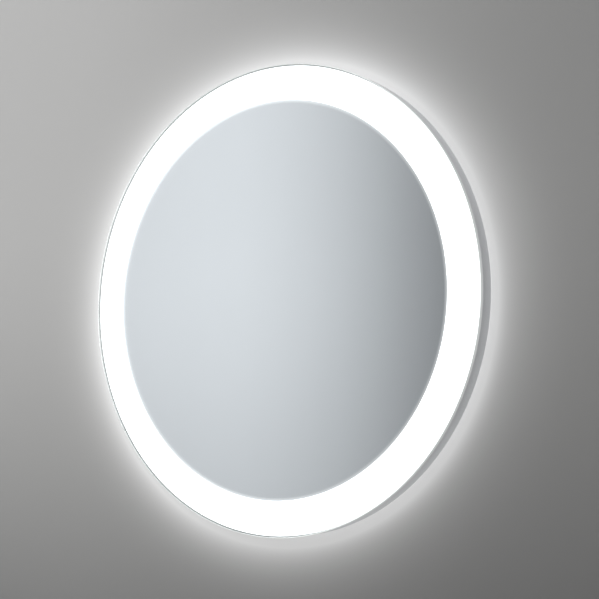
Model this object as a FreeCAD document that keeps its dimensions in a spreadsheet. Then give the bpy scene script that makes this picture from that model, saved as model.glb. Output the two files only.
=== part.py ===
import FreeCAD, Part
import math
import os
import re

import Sketcher

# Round wall mirror with a lit band, a wall halo and a hang-on rail.
# X runs right, Y runs into the wall and Z runs up. The origin is on the wall,
# midway between the two screw holes of the rail.

Vector = FreeCAD.Vector
Rotation = FreeCAD.Rotation
Placement = FreeCAD.Placement

doc = FreeCAD.newDocument("lighted_mirror")

# Driving dimensions in millimetres: name, value, what it is.
SIZES = [
    ("glass_diameter", 600, "mirror glass across"),
    ("glass_thickness", 6, "float glass"),
    ("glass_arris", 0.8, "ground corner of the glass"),
    ("lit_band_width", 45.5, "clear band outside the silvering"),
    ("silver_thickness", 0.3, "silver, paint and safety film"),
    ("bond_gap", 0.05, "glass to the silver and the bead, so that no face is shared"),
    ("seal_thickness", 0.5, "bead between glass and side band"),
    ("edge_inset", 0.4, "glass overhang over the side band"),
    ("frame_depth", 19.5, "side band, front to back"),
    ("frame_wall", 1.5, "side band wall"),
    ("frame_edge", 0.3, "broken corner of the side band"),
    ("frame_butt_gap", 0.3, "gap where the rolled band meets itself"),
    ("diffuser_thickness", 2, "opal ring behind the lit band"),
    ("diffuser_clearance", 0.4, "opal ring to its seats"),
    ("ledge_thickness", 1.2, "ledges that carry the opal ring"),
    ("frame_ledge", 3, "ledge inside the side band"),
    ("carrier_ledge", 4, "ledge outside the carrier ring"),
    ("flange_width", 10, "rear flange of the side band"),
    ("flange_thickness", 2, "rear flange of the side band"),
    ("joint_plate_thickness", 2, "plate across the butt joint"),
    ("joint_plate_angle", 12, "angle that the plate covers, degrees"),
    ("joint_screw_diameter", 3, "countersunk screws of that plate"),
    ("joint_screw_pitch", 16, "between those screws"),
    ("joint_screw_rise", 0.6, "those screws inside the middle of the flange"),
    ("pan_thickness", 1.2, "sheet steel back"),
    ("pan_clearance", 0.3, "back pan to side band"),
    ("pan_screw_diameter", 4, "screws of back pan and carrier ring"),
    ("pan_screw_count", 12, "around the side band"),
    ("carrier_screw_count", 8, "around the carrier ring"),
    ("screw_head_height", 2, "pan heads"),
    ("screw_protrusion", 0.8, "screw points past what they grip"),
    ("screw_clearance", 0.05, "thread to its tapped hole, on the radius"),
    ("hole_clearance", 0.2, "plain holes, on the radius"),
    ("blind_clearance", 0.5, "blind holes past the point of their screw"),
    ("cut_margin", 2, "cut-outs past both faces of their wall"),
    ("carrier_setback", 10, "carrier ring inside the silvering edge"),
    ("carrier_flange", 15.5, "carrier ring flanges"),
    ("carrier_wall", 1.2, "carrier ring sheet"),
    ("tape_thickness", 1, "foam bonding tape"),
    ("tape_inset", 1, "bonding tape inside the edges of the carrier ring"),
    ("film_thickness", 0.3, "white reflector film"),
    ("strip_width", 8, "flexible circuit of the lamps"),
    ("strip_thickness", 0.4, "flexible circuit of the lamps"),
    ("strip_glue", 0.3, "adhesive layer under a strip"),
    ("strip_angle", 358, "angle that a strip covers, degrees"),
    ("lamp_length", 3.5, "one lamp, along the strip"),
    ("lamp_width", 2.8, "one lamp, across the strip"),
    ("lamp_height", 0.8, "one lamp, off the strip"),
    ("front_lamp_count", 90, "lamps of the lit band"),
    ("rear_lamp_count", 96, "lamps of the wall halo"),
    ("halo_setback", 24.8, "rear channel inside the glass edge"),
    ("halo_height", 10, "rear channel, off the back pan"),
    ("halo_foot", 11.2, "foot of the rear channel"),
    ("halo_cover_width", 7.8, "opal cover outside the rear channel"),
    ("halo_cover_wall", 1, "opal cover wall"),
    ("halo_rivet_count", 12, "around the foot of the rear channel"),
    ("halo_rivet_diameter", 3.2, "rivets of the rear channel"),
    ("wall_gap", 12, "back pan to wall"),
    ("hang_height", 110, "rail holes above the mirror's centre"),
    ("rail_length", 260, "wall rail"),
    ("rail_thickness", 2, "wall rail sheet"),
    ("rail_below", 14, "rail under its screw holes"),
    ("rail_above", 12, "flat of the rail over its screw holes"),
    ("rail_joggle", 2.8, "slot between wall and rail lip"),
    ("rail_top", 28, "rail lip over its screw holes"),
    ("rail_corner", 4, "rounded corners of the rail"),
    ("rail_hole_diameter", 6, "wall screw holes"),
    ("rail_hole_pitch", 200, "between the wall screw holes"),
    ("hanger_width", 60, "one hanger"),
    ("hanger_inset", 45, "hanger centres inside the ends of the rail"),
    ("hanger_thickness", 2, "hanger sheet"),
    ("hanger_bend", 1.8, "outside of the hanger bends"),
    ("hanger_drop", 11, "hook below the top of the rail"),
    ("hanger_foot", 24, "hanger foot on the back pan"),
    ("hook_clearance", 0.4, "hook to rail lip, and hook to wall"),
    ("hanger_rivet_diameter", 4.8, "hanger rivets"),
    ("hanger_rivet_pitch", 30, "between the two rivets of a hanger"),
    ("bumper_diameter", 22, "rubber bumper at the back pan"),
    ("bumper_top_diameter", 18, "rubber bumper at the wall"),
    ("bumper_chamfer", 1.8, "broken edge of the bumper at the wall"),
    ("bumper_spacing", 240, "between the bumpers"),
    ("bumper_drop", 170, "bumpers below the mirror's centre"),
    ("box_x", 60, "terminal box right of the mirror's centre"),
    ("box_z", 20, "terminal box above the mirror's centre"),
    ("box_length", 100, "terminal box body"),
    ("box_height", 50, "terminal box body"),
    ("box_depth", 14, "terminal box into the back pan"),
    ("box_wall", 1.5, "terminal box walls and flange"),
    ("box_flange", 9, "terminal box flange around its body"),
    ("box_clearance", 0.5, "terminal box to the back pan's opening"),
    ("box_screw_diameter", 3, "terminal box and cord clamp screws"),
    ("box_screw_inset", 5, "those screws inside the flange corners"),
    ("box_strip_width", 28, "fixed strip over the box, at the inlet"),
    ("lid_height", 4.5, "lid off the box flange"),
    ("lid_wall", 1.5, "lid walls"),
    ("lid_lap", 3.5, "lid over the edges of its opening"),
    ("hinge_diameter", 2, "lid hinge pin"),
    ("hinge_clearance", 0.05, "lid hinge pin in its knuckles, on the radius"),
    ("knuckle_radius", 2.1, "hinge knuckles"),
    ("knuckle_length", 18, "knuckles of the lid"),
    ("knuckle_gap", 0.2, "between knuckles, and knuckles to flange"),
    ("hinge_offset", 4.5, "hinge pin above the lid"),
    ("lid_screw_diameter", 3, "lid screw"),
    ("lid_screw_reach", 3, "lid screw into its post"),
    ("lid_screw_clearance", 0.4, "lid screw in its post, on the radius"),
    ("post_diameter", 7, "screw post inside the terminal box"),
    ("post_gap", 0.5, "screw post to the walls of the box"),
    ("inlet_diameter", 8, "bore for the supply cord"),
    ("inlet_neck", 14, "neck of the inlet grommet"),
    ("inlet_flange", 18, "flanges of the inlet grommet"),
    ("inlet_flange_thickness", 1.8, "flanges of the inlet grommet"),
    ("clamp_height", 6.5, "cord clamp off the floor of the box"),
    ("clamp_thickness", 2.5, "cord clamp bar"),
    ("clamp_width", 7, "cord clamp bar"),
    ("clamp_spacing", 20, "between the cord clamp screws"),
    ("clamp_gap", 1, "cord clamp inside the fixed strip"),
    ("clamp_screw_reach", 3.5, "cord clamp screws into their posts"),
    ("block_length", 18, "terminal block along the wires"),
    ("block_width", 30, "terminal block across the wires"),
    ("block_height", 10, "terminal block off the floor of the box"),
    ("block_offset", 4, "terminal block right of the box centre"),
    ("block_screw_diameter", 4, "terminal screws"),
    ("block_screw_height", 3, "terminal screws"),
    ("block_slot_width", 0.8, "driver slots of the terminal screws"),
    ("block_slot_depth", 1, "driver slots of the terminal screws"),
    ("block_well_depth", 5.5, "wells of the terminal screws"),
    ("block_entry_diameter", 3.2, "wire holes of the terminal block"),
    ("block_entry_depth", 2.7, "wire holes of the terminal block"),
    ("block_entry_drop", 2, "wire holes under the block's middle"),
    ("driver_z", -75, "driver above the mirror's centre"),
    ("driver_length", 168, "driver cover"),
    ("driver_width", 44, "driver"),
    ("driver_ear", 11, "screw ears of the driver base"),
    ("driver_base_thickness", 1.5, "driver base"),
    ("driver_height", 13.5, "driver cover off the base"),
    ("driver_wall", 1.2, "driver cover walls"),
    ("board_thickness", 1.6, "driver circuit board"),
    ("board_margin", 3, "board to the outside of the cover"),
    ("board_standoff", 3, "board off the driver base"),
    ("board_post_diameter", 5, "posts under the corners of the board"),
    ("board_post_inset", 4, "posts inside the edges of the board"),
    ("transformer_x", -10, "transformer right of the board's middle"),
    ("transformer_length", 24, "transformer"),
    ("transformer_width", 22, "transformer"),
    ("transformer_height", 7, "transformer off the board"),
    ("coil_x", -48, "input coil right of the board's middle"),
    ("coil_z", -4, "input coil above the board's middle"),
    ("coil_diameter", 12, "input coil"),
    ("coil_bore", 5, "input coil"),
    ("coil_height", 6, "input coil and small capacitors off the board"),
    ("capacitor_x", 22, "first output capacitor right of the middle"),
    ("capacitor_z", 7, "output capacitors above the board's middle"),
    ("capacitor_pitch", 11, "between the output capacitors"),
    ("capacitor_diameter", 8, "output capacitors"),
    ("capacitor_height", 7, "output capacitors off the board"),
    ("small_capacitor_diameter", 6, "small capacitors"),
    ("input_capacitor_x", -66, "input capacitor right of the middle"),
    ("rectifier_x", 51, "rectifier block right of the board's middle"),
    ("rectifier_length", 14, "rectifier block"),
    ("rectifier_height", 4, "rectifier block off the board"),
    ("driver_screw_diameter", 3, "driver screws"),
    ("driver_screw_spacing", 28, "between the two screws of one ear"),
    ("lead_level", 5.3, "lead centres off the back pan"),
    ("mains_lead_diameter", 6, "sheathed lead, box to driver"),
    ("mains_lead_reach", 140, "mains lead right of the mirror's centre"),
    ("mains_lead_bend", 25, "mains lead bends"),
    ("led_lead_diameter", 3.2, "leads, driver to strips"),
    ("front_lead_reach", 120, "front lead's corner left of the centre"),
    ("front_lead_bend", 20, "front lead bends"),
    ("rear_lead_gap", 12.5, "rear lead's grommet inside the carrier ring"),
    ("rear_lead_drop", 10, "rear lead below the driver's middle"),
    ("rear_lead_bend", 4.6, "rear lead bends"),
    ("lead_clearance", 0.1, "leads in their holes, on the radius"),
    ("lead_grommet_diameter", 8, "grommet of the rear lead, flanges"),
    ("lead_grommet_neck", 6, "grommet of the rear lead, neck"),
    ("mains_clip_pitch", 24, "between the two clips of the mains lead"),
    ("led_clip_gap", 25, "last clip of the front lead inside the carrier ring"),
    ("led_clip_run", 20, "first clips of both thin leads past the front lead's bend"),
    ("clip_length", 8, "lead clips along the lead"),
    ("clip_wall", 2, "lead clips around the lead"),
    ("clip_foot", 5, "lead clips' feet beside the lead"),
    ("earth_drop", 45, "earth stud below the terminal box centre"),
    ("earth_stud_diameter", 4, "earth stud"),
    ("earth_nut_width", 7, "earth nuts across flats"),
    ("earth_nut_height", 3.2, "earth nuts"),
    ("earth_lug_thickness", 1.2, "ring lug"),
    ("earth_lug_diameter", 9, "ring lug"),
    ("earth_lead_diameter", 2.4, "earth lead"),
]

sheet = doc.addObject("Spreadsheet::Sheet", "Sizes")
for row, (alias, number, note) in enumerate(SIZES, start=1):
    sheet.set(f"A{row}", note)
    sheet.set(f"B{row}", str(number))
    sheet.setAlias(f"B{row}", alias)
doc.recompute()

# Places that follow from the sizes, in the sheet's own words.
PLACES = {
    "glass_radius": "glass_diameter / 2",
    "silver_radius": "glass_radius - lit_band_width",
    "frame_radius": "glass_radius - edge_inset",
    "frame_inner": "frame_radius - frame_wall",
    "flange_inner": "frame_inner - flange_width",
    "flange_middle": "frame_inner - flange_width / 2",
    "carrier_radius": "silver_radius - carrier_setback",
    "carrier_inner": "carrier_radius - carrier_flange",
    "carrier_middle": "carrier_radius - carrier_flange / 2",
    "halo_radius": "glass_radius - halo_setback",
    "halo_outer": "halo_radius + halo_cover_width",
    "halo_rivet_radius": "halo_radius - halo_foot / 2 - halo_cover_wall / 2",
    "pan_back": "-wall_gap",
    "pan_front": "pan_back - pan_thickness",
    "flange_front": "pan_front - flange_thickness",
    "frame_front": "pan_back - frame_depth",
    "glass_back": "frame_front - seal_thickness",
    "glass_front": "glass_back - glass_thickness",
    "bond_front": "glass_back + bond_gap",
    "silver_back": "glass_back + silver_thickness",
    "diffuser_back": "frame_front + diffuser_thickness",
    "ledge_back": "diffuser_back + ledge_thickness",
    "carrier_front": "silver_back + tape_thickness",
    "front_strip_middle": "(ledge_back + pan_front) / 2",
    "halo_top": "pan_back + halo_height",
    "halo_strip_middle": "pan_back + halo_height / 2",
    "lead_y": "pan_front - lead_level",
    "box_back": "pan_back + box_wall",
    "box_floor": "pan_back - box_depth",
    "box_inside": "box_floor + box_wall",
    "box_right": "box_length / 2",
    "box_top": "box_height / 2",
    "cavity_right": "box_right - box_wall",
    "cavity_top": "box_top - box_wall",
    "mouth_left": "box_strip_width - box_right",
    "inlet_x": "(mouth_left - cavity_right) / 2",
    "lid_left": "mouth_left - lid_lap",
    "lid_right": "cavity_right + lid_lap",
    "lid_top": "cavity_top + lid_lap",
    "lid_back": "box_back + lid_height",
    "hinge_y": "box_back + knuckle_radius + knuckle_gap",
    "hinge_z": "lid_top + hinge_offset",
    "hinge_middle": "(lid_left + lid_right) / 2",
    "hinge_half": "(lid_right - lid_left) / 2 - knuckle_length / 4",
    "knuckle_first": "hinge_middle - hinge_half / 2 - knuckle_length / 2",
    "knuckle_second": "hinge_middle + hinge_half / 2 - knuckle_length / 2",
    "post_x": "cavity_right - post_diameter / 2 - post_gap",
    "post_z": "post_diameter / 2 + post_gap - cavity_top",
    "clamp_x": "mouth_left + clamp_width / 2 + clamp_gap",
    "clamp_floor": "box_inside + clamp_height",
    "block_left": "block_offset - block_length / 2",
    "block_right": "block_offset + block_length / 2",
    "block_back": "box_inside + block_height",
    "well_bottom": "block_back - block_well_depth",
    "block_entry": "(box_inside + block_back) / 2 - block_entry_drop",
    "base_front": "pan_front - driver_base_thickness",
    "board_back": "base_front - board_standoff",
    "board_front": "board_back - board_thickness",
    "board_right": "driver_length / 2 - board_margin",
    "board_edge": "driver_width / 2 - board_margin",
    "ear_screw_x": "(driver_length + driver_ear) / 2",
    "hanger_x": "rail_length / 2 - hanger_inset",
    "hanger_middle": "rail_top + hanger_thickness + hanger_foot / 2",
    "hook_back": "-hook_clearance",
    "earth_x": "box_x + block_offset",
    "earth_z": "box_z - earth_drop",
    "lug_low": "lead_y - earth_lug_thickness / 2",
    "joint_plate_screw_z": "joint_screw_rise - flange_middle",
    "joint_head": "joint_screw_diameter * 0.9",
    "led_clip_last": "carrier_inner - led_clip_gap",
    "led_clip_first": "front_lead_reach + front_lead_bend + led_clip_run",
    "rear_lead_z": "driver_z - rear_lead_drop",
    "rear_lead_reach": "sqrt(carrier_inner * carrier_inner - rear_lead_z * rear_lead_z)"
    " - rear_lead_gap",
    "rear_lead_edge": "rear_lead_z - led_lead_diameter / 2",
    "halo_lead_x": "sqrt(halo_radius * halo_radius - rear_lead_edge * rear_lead_edge)",
}

NAMES = {alias for alias, number, note in SIZES}


def full(text):
    """Writes a text of sizes and places as an expression on the sheet."""

    def word(found):
        name = found.group()
        if name in NAMES:
            return "Sizes." + name
        if name in PLACES:
            return "(" + full(PLACES[name]) + ")"
        return name

    return re.sub(r"[a-z][a-z_]*", word, str(text))


def number(text):
    """The value of a text of sizes and places."""
    found = sheet.evalExpression(full(text))
    return float(getattr(found, "Value", found))


def bind(thing, prop, text):
    thing.setExpression(prop, full(text))


# ---- helpers that draw and shape ----


def newBody(name, x="0", z="0", spin=None):
    """A sub-part whose own axes lie at x, z of the row; spin turns it about Y."""
    body = doc.addObject("PartDesign::Body", name)
    body.Label = name
    body.AllowCompound = True
    if spin is not None:
        body.Placement = Placement(Vector(), Rotation(Vector(0, 1, 0), 1))
        bind(body, "Placement.Rotation.Angle", spin)
    bind(body, "Placement.Base.x", x)
    bind(body, "Placement.Base.z", z)
    return body


def originPart(body, role):
    return next(part for part in body.Origin.OriginFeatures if part.Role == role)


def sketchOn(body, role, offset="0", turn=None):
    """A sketch on one of the body's planes, moved by offset along its normal."""
    sketch = body.newObject("Sketcher::SketchObject", body.Name + "_sketch")
    sketch.AttachmentSupport = [(originPart(body, role), "")]
    sketch.MapMode = "FlatFace"
    if turn is not None:
        sketch.AttachmentOffset = Placement(Vector(), Rotation(Vector(0, 0, 1), 1))
        bind(sketch, "AttachmentOffset.Rotation.Angle", turn)
    bind(sketch, "AttachmentOffset.Base.z", offset)
    return sketch


def dimension(sketch, kind, place, value, text):
    made = sketch.addConstraint(Sketcher.Constraint(kind, *place, value))
    bind(sketch, f"Constraints[{made}]", text)


def drawOutline(sketch, points):
    """A closed outline of straight edges, each corner held by its two sizes."""
    spots = [(number(a), number(b)) for a, b in points]
    first = sketch.GeometryCount
    count = len(points)
    for i, (a, b) in enumerate(spots):
        c, d = spots[(i + 1) % count]
        sketch.addGeometry(Part.LineSegment(Vector(a, b, 0), Vector(c, d, 0)))
    for i in range(count):
        nxt = first + (i + 1) % count
        sketch.addConstraint(Sketcher.Constraint("Coincident", first + i, 2, nxt, 1))
    for i, (a, b) in enumerate(spots):
        dimension(sketch, "DistanceX", (-1, 1, first + i, 1), a, points[i][0])
        dimension(sketch, "DistanceY", (-1, 1, first + i, 1), b, points[i][1])


def drawCircle(sketch, a, b, diameter):
    made = sketch.addGeometry(
        Part.Circle(Vector(number(a), number(b), 0), Vector(0, 0, 1), number(diameter) / 2)
    )
    dimension(sketch, "DistanceX", (-1, 1, made, 3), number(a), a)
    dimension(sketch, "DistanceY", (-1, 1, made, 3), number(b), b)
    dimension(sketch, "Diameter", (made,), number(diameter), diameter)


def drawAxis(sketch, b, run=10):
    """A construction line along the sketch's first axis, at height b."""
    line = sketch.addGeometry(
        Part.LineSegment(Vector(0, number(b), 0), Vector(run, number(b), 0)), True
    )
    dimension(sketch, "DistanceX", (-1, 1, line, 1), 0, "0")
    dimension(sketch, "DistanceY", (-1, 1, line, 1), number(b), b)
    dimension(sketch, "DistanceX", (-1, 1, line, 2), run, str(run))
    sketch.addConstraint(Sketcher.Constraint("Horizontal", line))


def feature(body, kind, sketch):
    made = body.newObject("PartDesign::" + kind, body.Name + "_" + kind.lower())
    made.Profile = sketch
    return made


def ring(body, points, turn="360"):
    """Turns a section of depth and radius about the mirror's axis."""
    sketch = sketchOn(body, "YZ_Plane")
    drawOutline(sketch, points)
    made = feature(body, "Revolution", sketch)
    made.ReferenceAxis = (sketch, ["H_Axis"])
    made.Midplane = True
    bind(made, "Angle", turn)
    return made


def band(low, high, inner, outer):
    """Section of a plain ring: two depths and two radii."""
    return [(low, inner), (high, inner), (high, outer), (low, outer)]


def turned(body, points, height="0", across="0", cut=False):
    """Turns a section of depth and radius about an axis along Y at across, height."""
    sketch = sketchOn(body, "YZ_Plane", across)
    drawOutline(sketch, [(y, f"{height} + {r}") for y, r in points])
    drawAxis(sketch, height)
    made = feature(body, "Groove" if cut else "Revolution", sketch)
    made.ReferenceAxis = (sketch, ["Axis0"])
    made.Angle = 360
    return made


def plate(body, low, high, points):
    """A plate between two depths, with an outline in X and Z."""
    sketch = sketchOn(body, "XZ_Plane", f"-({high})")
    drawOutline(sketch, points)
    made = feature(body, "Pad", sketch)
    bind(made, "Length", f"({high}) - ({low})")
    return made


def rectangle(left, right, bottom, top):
    return [(left, bottom), (right, bottom), (right, top), (left, top)]


def discs(body, low, high, spots, diameter):
    """Round studs between two depths, one at each spot of X and Z."""
    sketch = sketchOn(body, "XZ_Plane", f"-({high})")
    for x, z in spots:
        drawCircle(sketch, x, z, diameter)
    made = feature(body, "Pad", sketch)
    bind(made, "Length", f"({high}) - ({low})")
    return made


def sink(body, low, high, draw, turn=None):
    """Cuts what draw puts on the sketch, between two depths."""
    before = solidOf(body).Volume
    sketch = sketchOn(body, "XZ_Plane", f"-({high})", turn)
    draw(sketch)
    made = feature(body, "Pocket", sketch)
    made.Reversed = True
    bind(made, "Length", f"({high}) - ({low})")
    doc.recompute()
    if not made.Shape.Volume < before:
        raise RuntimeError(f"{body.Label}: a cut took nothing away")
    return made


def holes(body, low, high, spots, diameter, turn=None):
    def draw(sketch):
        for x, z in spots:
            drawCircle(sketch, x, z, diameter)

    return sink(body, low, high, draw, turn)


def window(body, low, high, points):
    return sink(body, low, high, lambda sketch: drawOutline(sketch, points))


def around(body, originals, count):
    """Repeats features evenly about the mirror's axis."""
    made = body.newObject("PartDesign::PolarPattern", body.Name + "_pattern")
    made.Originals = originals
    made.Axis = (originPart(body, "Y_Axis"), [""])
    made.Angle = 360
    bind(made, "Occurrences", count)
    body.Tip = made
    return made


def bar(body, points, length, middle="0"):
    """A section in Y and Z, drawn out both ways along X."""
    sketch = sketchOn(body, "YZ_Plane", middle)
    drawOutline(sketch, points)
    made = feature(body, "Pad", sketch)
    made.SideType = "Symmetric"
    bind(made, "Length", length)
    return made


def solidOf(body):
    doc.recompute()
    return body.Shape


def roundEdges(body, radius, way, corners):
    """Rounds the straight edges that run along way through the given corners.

    way is an axis letter and corners are pairs of values on the other two axes.
    """
    doc.recompute()
    base = body.Tip
    keep = [axis for axis in "xyz" if axis != way]
    names = []
    for i, edge in enumerate(base.Shape.Edges, start=1):
        if len(edge.Vertexes) != 2:
            continue
        ends = [tuple(getattr(v.Point, axis) for axis in keep) for v in edge.Vertexes]
        if any(near(end, corner) for corner in corners for end in ends[:1]):
            if near(*ends):
                names.append(f"Edge{i}")
    if not names:
        raise RuntimeError(f"{body.Label}: no edge to round")
    made = body.newObject("PartDesign::Fillet", body.Name + "_fillet")
    made.Base = (base, names)
    bind(made, "Radius", radius)
    return made


def near(a, b):
    return all(abs(i - k) < 1e-4 for i, k in zip(a, b))


MIRROR_Z = "-hang_height"

# ---- wall rail ----


def makeWallRail():
    """Z-shaped rail: flat on the wall, its lip stands off and points up."""
    body = newBody("wall_rail")
    lip = "-rail_joggle"
    face = "-rail_joggle - rail_thickness"
    bar(
        body,
        [
            ("0", "-rail_below"),
            ("0", "rail_above"),
            (lip, "rail_above + rail_joggle"),
            (lip, "rail_top"),
            (face, "rail_top"),
            (face, "rail_above + rail_joggle - rail_thickness / 2"),
            ("-rail_thickness", "rail_above - rail_thickness / 2"),
            ("-rail_thickness", "-rail_below"),
        ],
        "rail_length",
    )
    spots = [("-rail_hole_pitch / 2", "0"), ("rail_hole_pitch / 2", "0")]
    holes(body, "-rail_thickness", "0", spots, "rail_hole_diameter")
    end = number("rail_length / 2")
    bottom = number("-rail_below")
    roundEdges(body, "rail_corner", "y", [(-end, bottom), (end, bottom)])


# ---- glass and what is bonded to it ----


def makeGlass():
    body = newBody("mirror_glass", z=MIRROR_Z)
    ring(
        body,
        [
            ("glass_front", "0"),
            ("glass_front", "glass_radius - glass_arris"),
            ("glass_front + glass_arris", "glass_radius"),
            ("glass_back - glass_arris", "glass_radius"),
            ("glass_back", "glass_radius - glass_arris"),
            ("glass_back", "0"),
        ],
    )


def makeRing(name, section, turn="360", spin=None):
    """A body that is one ring or disc about the mirror's axis."""
    body = newBody(name, z=MIRROR_Z, spin=spin)
    ring(body, section, turn)
    return body


def makeBondedRings():
    makeRing("silver_backing", band("bond_front", "silver_back", "0", "silver_radius"))
    makeRing(
        "front_diffuser",
        band(
            "frame_front",
            "diffuser_back",
            "carrier_radius + diffuser_clearance",
            "frame_inner - diffuser_clearance",
        ),
    )
    makeRing(
        "edge_seal",
        band("bond_front", "frame_front", "frame_inner", "frame_radius - frame_edge"),
    )
    makeRing(
        "glass_tape",
        band(
            "silver_back",
            "carrier_front",
            "carrier_inner + tape_inset",
            "carrier_radius - tape_inset",
        ),
    )


# ---- side band with its joint ----

JOINT_SPOTS = [
    (f"{k} * joint_screw_pitch", "joint_plate_screw_z") for k in (-1.5, -0.5, 0.5, 1.5)
]


def makeSideFrame():
    body = newBody("side_frame", z=MIRROR_Z)
    ring(
        body,
        [
            ("frame_front", "frame_inner"),
            ("frame_front", "frame_radius - frame_edge"),
            ("frame_front + frame_edge", "frame_radius"),
            ("pan_back - frame_edge", "frame_radius"),
            ("pan_back", "frame_radius - frame_edge"),
            ("pan_back", "frame_inner"),
            ("pan_front", "frame_inner"),
            ("pan_front", "flange_inner"),
            ("flange_front", "flange_inner"),
            ("flange_front", "frame_inner"),
            ("ledge_back", "frame_inner"),
            ("ledge_back", "frame_inner - frame_ledge"),
            ("diffuser_back", "frame_inner - frame_ledge"),
            ("diffuser_back", "frame_inner"),
        ],
        "360 - 360 * frame_butt_gap / (pi * glass_diameter)",
    )
    tapped = holes(
        body,
        "flange_front",
        "pan_front",
        [("0", "flange_middle")],
        "pan_screw_diameter + 2 * screw_clearance",
        turn="180 / pan_screw_count",
    )
    around(body, [tapped], "pan_screw_count")
    for x, z in JOINT_SPOTS:
        turned(body, countersunk("hole_clearance"), z, x, cut=True)


def countersunk(extra):
    """Section of a countersunk screw from the flange's back face; extra widens it."""
    head = f"joint_head + {extra}"
    shank = f"joint_screw_diameter / 2 + {extra}"
    tip = "flange_front - joint_plate_thickness"
    neck = "pan_front - joint_head + joint_screw_diameter / 2"
    return [("pan_front", "0"), ("pan_front", head), (neck, shank), (tip, shank), (tip, "0")]


def makeJointPlate():
    body = newBody("frame_joint_plate", z=MIRROR_Z)
    section = band(
        "flange_front - joint_plate_thickness",
        "flange_front",
        "-(flange_inner + frame_edge)",
        "-(frame_inner - pan_clearance)",
    )
    ring(body, section, "joint_plate_angle")
    holes(
        body,
        "flange_front - joint_plate_thickness",
        "flange_front",
        JOINT_SPOTS,
        "joint_screw_diameter + 2 * screw_clearance",
    )
    screws = newBody("joint_plate_screws", z=MIRROR_Z)
    for x, z in JOINT_SPOTS:
        turned(screws, countersunk("0"), z, x)


# ---- back pan, carrier ring and their screws ----

BOX_SCREWS = [
    (
        f"{i} * (box_right + box_flange - box_screw_inset)",
        f"{k} * (box_top + box_flange - box_screw_inset)",
    )
    for i in (-1, 1)
    for k in (-1, 1)
]
DRIVER_SCREWS = [
    (f"{i} * ear_screw_x", f"{k} * driver_screw_spacing / 2")
    for i in (-1, 1)
    for k in (-1, 1)
]
HANGER_SPOTS = [
    (f"{i} * hanger_x + {k} * hanger_rivet_pitch / 2", "hanger_middle")
    for i in (-1, 1)
    for k in (-1, 1)
]


def moved(spots, x="0", z="0"):
    return [(f"{x} + {a}", f"{z} + {b}") for a, b in spots]


def makeBackPan():
    body = makeRing(
        "back_pan", band("pan_front", "pan_back", "0", "frame_inner - pan_clearance")
    )
    loose = "pan_screw_diameter + 2 * hole_clearance"
    rims = [
        ("flange_middle", loose, "pan_screw_count"),
        ("carrier_middle", loose, "carrier_screw_count"),
        ("halo_rivet_radius", "halo_rivet_diameter + 2 * screw_clearance", "halo_rivet_count"),
    ]
    for radius, diameter, count in rims:
        hole = holes(
            body, "pan_front", "pan_back", [("0", radius)], diameter, turn=f"180 / {count}"
        )
        around(body, [hole], count)
    x = "(box_right + box_clearance)"
    z = "(box_top + box_clearance)"
    opening = rectangle(f"box_x - {x}", f"box_x + {x}", f"box_z - {z}", f"box_z + {z}")
    window(body, "pan_front", "pan_back", opening)
    flat = ("pan_front", "pan_back")
    tapped = "box_screw_diameter + 2 * screw_clearance"
    holes(body, *flat, moved(BOX_SCREWS, "box_x", "box_z"), tapped)
    tapped = "driver_screw_diameter + 2 * screw_clearance"
    holes(body, *flat, moved(DRIVER_SCREWS, z="driver_z"), tapped)
    tapped = "hanger_rivet_diameter + 2 * screw_clearance"
    holes(body, *flat, moved(HANGER_SPOTS, z="hang_height"), tapped)
    holes(body, *flat, [("-rear_lead_reach", "rear_lead_z")], "lead_grommet_neck")


def headSection(radius, tip):
    """Section of a pan-head screw that sits on the back pan and ends at tip."""
    return [
        ("pan_back + screw_head_height", "0"),
        ("pan_back + screw_head_height", f"{radius} * 1.2"),
        ("pan_back + screw_head_height * 0.7", f"{radius} * 1.7"),
        ("pan_back + screw_head_height * 0.3", f"{radius} * 1.95"),
        ("pan_back", f"{radius} * 1.95"),
        ("pan_back", f"{radius}"),
        (f"{tip} + {radius} * 0.3", f"{radius}"),
        (tip, f"{radius} * 0.7"),
        (tip, "0"),
    ]


def screwRing(name, height, gripped, count):
    """Pan-head screws around the mirror's axis, each with a cross recess.

    gripped is the front face of what they are screwed into.
    """
    body = newBody(name, z=MIRROR_Z, spin=f"180 / {count}")
    tip = f"{gripped} - screw_protrusion"
    screw = turned(body, headSection("pan_screw_diameter / 2", tip), height)
    cross = window(
        body,
        "pan_back + screw_head_height * 0.45",
        "pan_back + screw_head_height",
        crossOutline("pan_screw_diameter", height),
    )
    around(body, [screw, cross], count)


def crossOutline(diameter, height, middle="0"):
    """Outline of a cross recess about the spot middle, height."""
    arm = f"{diameter} * 0.55"
    half = f"{diameter} * 0.1"
    quarter = [(half, arm), (half, half), (arm, half)]
    corners = []
    for i, k in [(1, 1), (1, -1), (-1, -1), (-1, 1)]:
        part = quarter if i == k else quarter[::-1]
        corners += [(f"{middle} + {i} * {a}", f"{height} + {k} * {b}") for a, b in part]
    return corners


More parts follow.
